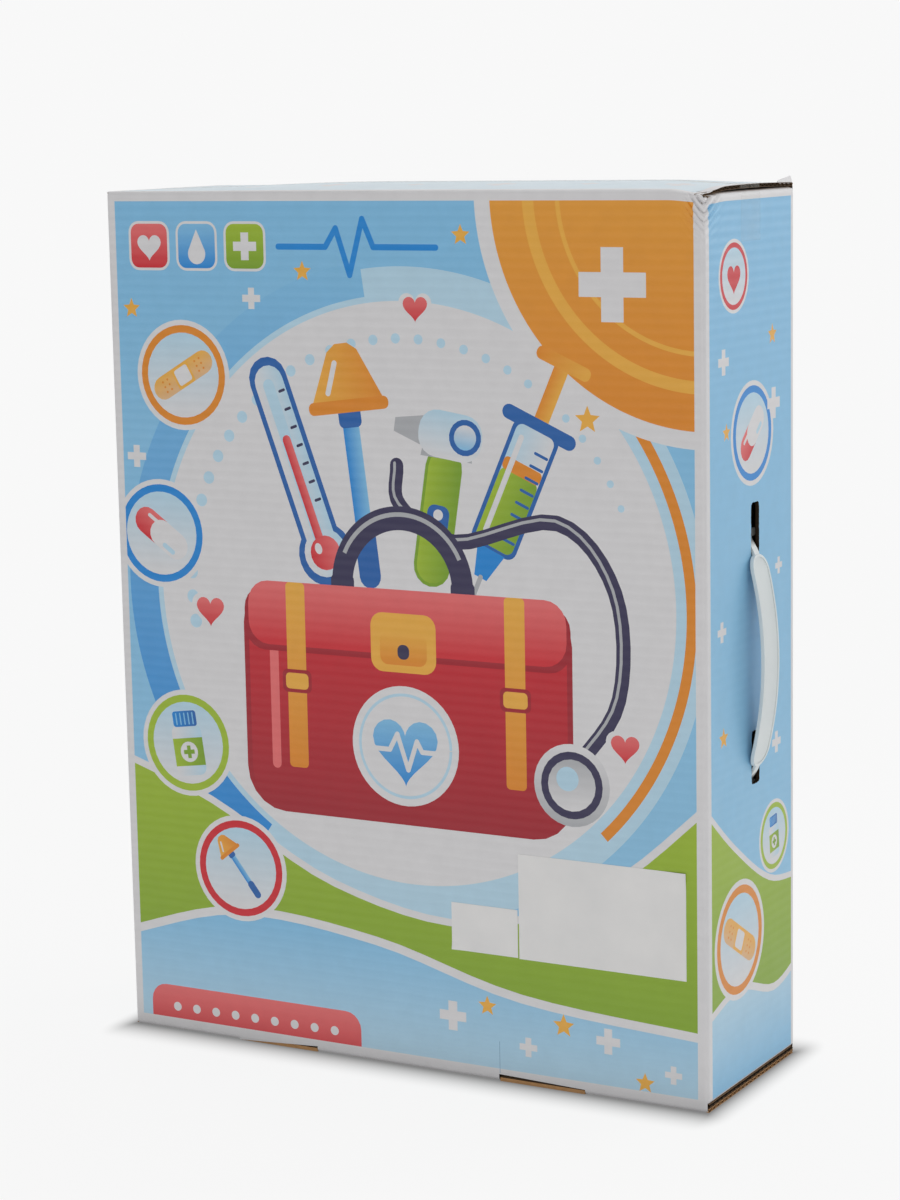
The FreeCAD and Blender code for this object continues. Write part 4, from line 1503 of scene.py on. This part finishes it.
def locked_outer(width, height):
    """The outer bottom flap, whose fold is cut through under the lock tabs."""
    shift = (width - WIDTH) / 2
    points = [(0, 0)]
    for span in lock_ranges(LOCK_CLEARANCE):
        low, high = [end + shift for end in span]
        points += [(low, 0), (low, CREASE_RADIUS), (high, CREASE_RADIUS), (high, 0)]
    return points + [(width, 0), (width, height), (0, height)]


def tabbed_inner(width, height):
    """The inner bottom flap with its two lock tabs."""
    shift = (width - WIDTH) / 2
    shoulder = height - BOARD + LOCK_SETBACK - LOCK_CLEARANCE
    points = [(0, 0), (width, 0), (width, shoulder)]
    for span in reversed(lock_ranges(0)):
        low, high = [end + shift for end in span]
        points += [(high, shoulder), (high, height), (low, height), (low, shoulder)]
    return points + [(0, shoulder)]


def bottom_flaps():
    low, high = extent("bottom_outer_flap")
    dust_low, dust_high = extent("bottom_right_dust_flap")
    right_corner = (RIGHT, dust_high.y, SIDE_FOOT)
    left_corner = (LEFT, dust_low.y, SIDE_FOOT)
    # The outer flap's cut ends and waves take lit kraft: painted light
    plan = (("bottom_outer_flap", (high.x, FRONT, FOOT), -X_AXIS, Y_AXIS, locked_outer, KRAFT_LIT_FOOT),
            # The hidden flaps' cut ends and waves take nearly black kraft: painted shade
            ("bottom_inner_flap", (low.x, BACK, BACK_FOOT), X_AXIS, -Y_AXIS, tabbed_inner, KRAFT_DEEP_SHADE),
            ("bottom_right_dust_flap", right_corner, -Y_AXIS, -X_AXIS, dust_outline, KRAFT_DEEP_SHADE),
            ("bottom_left_dust_flap", left_corner, Y_AXIS, X_AXIS, dust_outline, KRAFT_DEEP_SHADE))
    for name, corner, along, across, outline, edge in plan:
        board = flap_board(name, corner, along, across, outline)
        shell = Shell(PRINT, KRAFT_FACE, edge)
        half = board.width / 2
        shell.flap(board, Motif([("white", rectangle, (-half, half), (0, board.height))]))
        if outline is locked_outer:
            cut_fold_lips(shell)
        board_piece(name, "carton", shell)


def cut_fold_lips(shell):
    """The outer bottom flap's board where its fold is cut through, a little behind the front."""
    for left, right in lock_ranges(0):
        corner = (RIGHT - left, FRONT + LOCK_SETBACK, FOOT)
        shell.slab(Board(corner, -X_AXIS, Y_AXIS, right - left, CREASE_RADIUS, ()), (0, BOARD))


def glue_flap():
    low, high = extent("glue_flap")
    board = Board((high.x, high.y, low.z), -X_AXIS, Z_AXIS, high.x - low.x, high.z - low.z, ())
    # The glue flap's cut edges take the dark edge kraft: own tone and painted shade
    shell = Shell(KRAFT_FACE, KRAFT_FACE, KRAFT_EDGE_SHADE)
    shell.slab(board, (0, high.y - low.y))
    piece = board_piece("glue_flap", "carton", shell)


def carry_handle():
    """The strap, with its moulded edges rounded over."""
    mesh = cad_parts["carry_handle"].data.copy()
    work = bmesh.new()
    work.from_mesh(mesh)
    bmesh.ops.remove_doubles(work, verts=work.verts, dist=MERGE_DISTANCE * MM)
    bmesh.ops.dissolve_limit(work, angle_limit=HANDLE_FLAT_ANGLE, verts=work.verts, edges=work.edges)
    work.to_mesh(mesh)
    work.free()
    mesh.materials.clear()
    mesh.materials.append(PLASTIC)
    sharp = linked("carry_handle_strap", mesh)
    bevel = sharp.modifiers.new("bevel", "BEVEL")
    bevel.width = HANDLE_BEVEL * MM
    bevel.segments = HANDLE_BEVEL_STEPS
    bevel.limit_method = "ANGLE"
    bevel.angle_limit = HANDLE_BEVEL_ANGLE
    strap = finished(evaluated_mesh(sharp), "carry_handle_strap", HANDLE_SHARP_ANGLE)
    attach(strap, "handle")
    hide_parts("carry_handle")


def film(name, path, normals, y_range, thickness, node, body):
    """Tape laid along a path across the carton, with faint ripples."""
    shell = Shell(FILM)
    columns = TAPE_COLUMNS + 1
    for outer in (True, False):
        for (x, z), normal in zip(path, normals):
            for column in range(columns):
                y = y_range[1] - (y_range[1] - y_range[0]) * column / TAPE_COLUMNS
                ripple = TAPE_RIPPLE * (1 + noise.noise(Vector((x, y, z)) / TAPE_RIPPLE_PITCH))
                lift = (thickness + ripple) if outer else TAPE_RIPPLE / 2
                point = Vector((x + normal[0] * lift, y, z + normal[1] * lift))
                shell.add_point(damage(point), (x, y))
    shell.closed_sheet(len(path), columns)
    piece = shell.piece(name)
    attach(piece, body)
    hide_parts(node)


def tape():
    """The seam's two halves of tape, bent down at both ends, and the tails on the sides."""
    low, high = extent("seam_tape_front")
    flap_low, flap_high = extent("top_front_flap")
    thickness = high.z - TOP
    path, normals = [(flap_low.x, low.z)], [(-1, 0)]
    for step in range(CREASE_STEPS + 1):
        turn = math.pi / 2 * step / CREASE_STEPS
        path.append((flap_low.x + LINER * (1 - math.cos(turn)), TOP - LINER * (1 - math.sin(turn))))
        normals.append((-math.cos(turn), math.sin(turn)))
    for step in range(1, TAPE_STEPS):
        path.append((flap_low.x + LINER + (flap_high.x - flap_low.x - 2 * LINER) * step / TAPE_STEPS, TOP))
        normals.append((0, 1))
    for (x, z), normal in list(zip(path, normals))[CREASE_STEPS + 1::-1]:
        path.append((-x, z))
        normals.append((-normal[0], normal[1]))
    for body, node in (("top_front", "seam_tape_front"), ("top_back", "seam_tape_back")):
        tape_low, tape_high = extent(node)
        film(node + "_film", path, normals, (tape_low.y, tape_high.y), thickness, node, body)
    tail_low, tail_high = extent("seam_tape_tails")
    fall = tail_low.z - tail_high.z
    heights = [tail_high.z + fall * step / TAPE_TAIL_STEPS for step in range(TAPE_TAIL_STEPS + 1)]
    for side, edge, word in ((-1, LEFT, "left"), (1, RIGHT, "right")):
        row = heights if side > 0 else heights[::-1]
        sunk = [roll(SIDE_TOP - height, SIDE_HEIGHT, True, False, 0) for height in row]
        tail = [(edge - side * depth, SIDE_TOP - reach) for reach, depth in sunk]
        film(f"seam_tape_tail_{word}_film", tail, [(side, 0)] * len(tail), (tail_low.y, tail_high.y),
             thickness, "seam_tape_tails", "carton")


def label(node, lift_corner):
    """A blank paper label, stuck down but for a corner that lifts a little."""
    low, high = extent(node)
    shell = Shell(PAPER)
    columns = LABEL_STEPS + 1
    for depth in (low.y, high.y):
        for row in range(columns):
            for column in range(columns):
                x_share, z_share = column / LABEL_STEPS, row / LABEL_STEPS
                near = 1 - max(abs(x_share - lift_corner[0]), abs(z_share - lift_corner[1]))
                curl = LABEL_CURL * smooth((near - LABEL_CURL_SHARE) / (1 - LABEL_CURL_SHARE))
                x = low.x + (high.x - low.x) * x_share
                z = low.z + (high.z - low.z) * z_share
                shell.add_point(Vector((x, depth - curl, z)), (x, z))
    shell.closed_sheet(columns, columns)
    piece = shell.piece(node + "_paper")
    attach(piece, "carton")
    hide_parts(node)


# Stage, light and camera

def studio_sweep():
    """A floor that curves up into a backdrop, square to the camera's heading."""
    away = Vector((-math.sin(CAMERA_AZIMUTH), math.cos(CAMERA_AZIMUTH), 0))
    across = Vector((math.cos(CAMERA_AZIMUTH), math.sin(CAMERA_AZIMUTH), 0))
    profile = [(-FLOOR_REACH, 0)]
    for step in range(SWEEP_STEPS + 1):
        turn = math.pi / 2 * step / SWEEP_STEPS
        profile.append((SWEEP_BACK + SWEEP_RADIUS * math.sin(turn), SWEEP_RADIUS * (1 - math.cos(turn))))
    profile.append((SWEEP_BACK + SWEEP_RADIUS, SWEEP_RADIUS + SWEEP_RISE))
    points = []
    for reach, rise in profile:
        for side in (-1, 1):
            points.append((away * reach + across * side * FLOOR_REACH + Z_AXIS * (rise + FOOT)) * MM)
    faces = [(2 * row, 2 * row + 1, 2 * row + 3, 2 * row + 2) for row in range(len(profile) - 1)]
    mesh = bpy.data.meshes.new("studio_sweep")
    mesh.from_pydata(points, [], faces)
    mesh.materials.append(sweep_paper())
    mesh.shade_smooth()
    linked("studio_sweep", mesh)


def soft_box(name, place, size, power):
    """A rectangular light that faces the middle of the case."""
    light = bpy.data.lights.new(name, "AREA")
    light.shape = "RECTANGLE"
    light.size, light.size_y = [side * MM for side in size]
    light.energy = power
    lamp = linked(name, light)
    lamp.location = Vector(place) * MM
    heading = Vector((0, 0, HEIGHT / 2)) - Vector(place)
    lamp.rotation_euler = heading.to_track_quat("-Z", "Y").to_euler()


def studio_light():
    for light in LIGHTS:
        soft_box(*light)
    world = bpy.data.worlds.new("studio")
    world.use_nodes = True
    background = world.node_tree.nodes["Background"]
    background.inputs["Color"].default_value = WORLD_COLOUR
    background.inputs["Strength"].default_value = WORLD_STRENGTH
    bpy.context.scene.world = world


def photo_camera():
    heading = Vector((math.sin(CAMERA_AZIMUTH), -math.cos(CAMERA_AZIMUTH), 0))
    back = heading * math.cos(CAMERA_ELEVATION) + Z_AXIS * math.sin(CAMERA_ELEVATION)
    right = Vector((math.cos(CAMERA_AZIMUTH), math.sin(CAMERA_AZIMUTH), 0))
    up = back.cross(right)
    tilted_right = right * math.cos(CAMERA_ROLL) + up * math.sin(CAMERA_ROLL)
    tilted_up = up * math.cos(CAMERA_ROLL) - right * math.sin(CAMERA_ROLL)
    target = Z_AXIS * (FOOT + HEIGHT / 2) + tilted_up * CAMERA_RISE
    lens = bpy.data.cameras.new("photo_camera")
    lens.sensor_fit = "VERTICAL"
    lens.sensor_height = SENSOR
    lens.lens = FOCAL_LENGTH / PHOTO_HEIGHT * SENSOR
    camera = linked("photo_camera", lens)
    turned = Matrix((tilted_right, tilted_up, back)).transposed().to_4x4()
    camera.matrix_world = Matrix.Translation((target + back * CAMERA_DISTANCE) * MM) @ turned
    bpy.context.scene.camera = camera


panels()
top_flaps()
bottom_flaps()
glue_flap()
carry_handle()
tape()
label("large_blank_label", (1, 1))
label("small_blank_label", (0, 0))
studio_sweep()
studio_light()
photo_camera()
bpy.context.scene.view_settings.view_transform = "Standard"
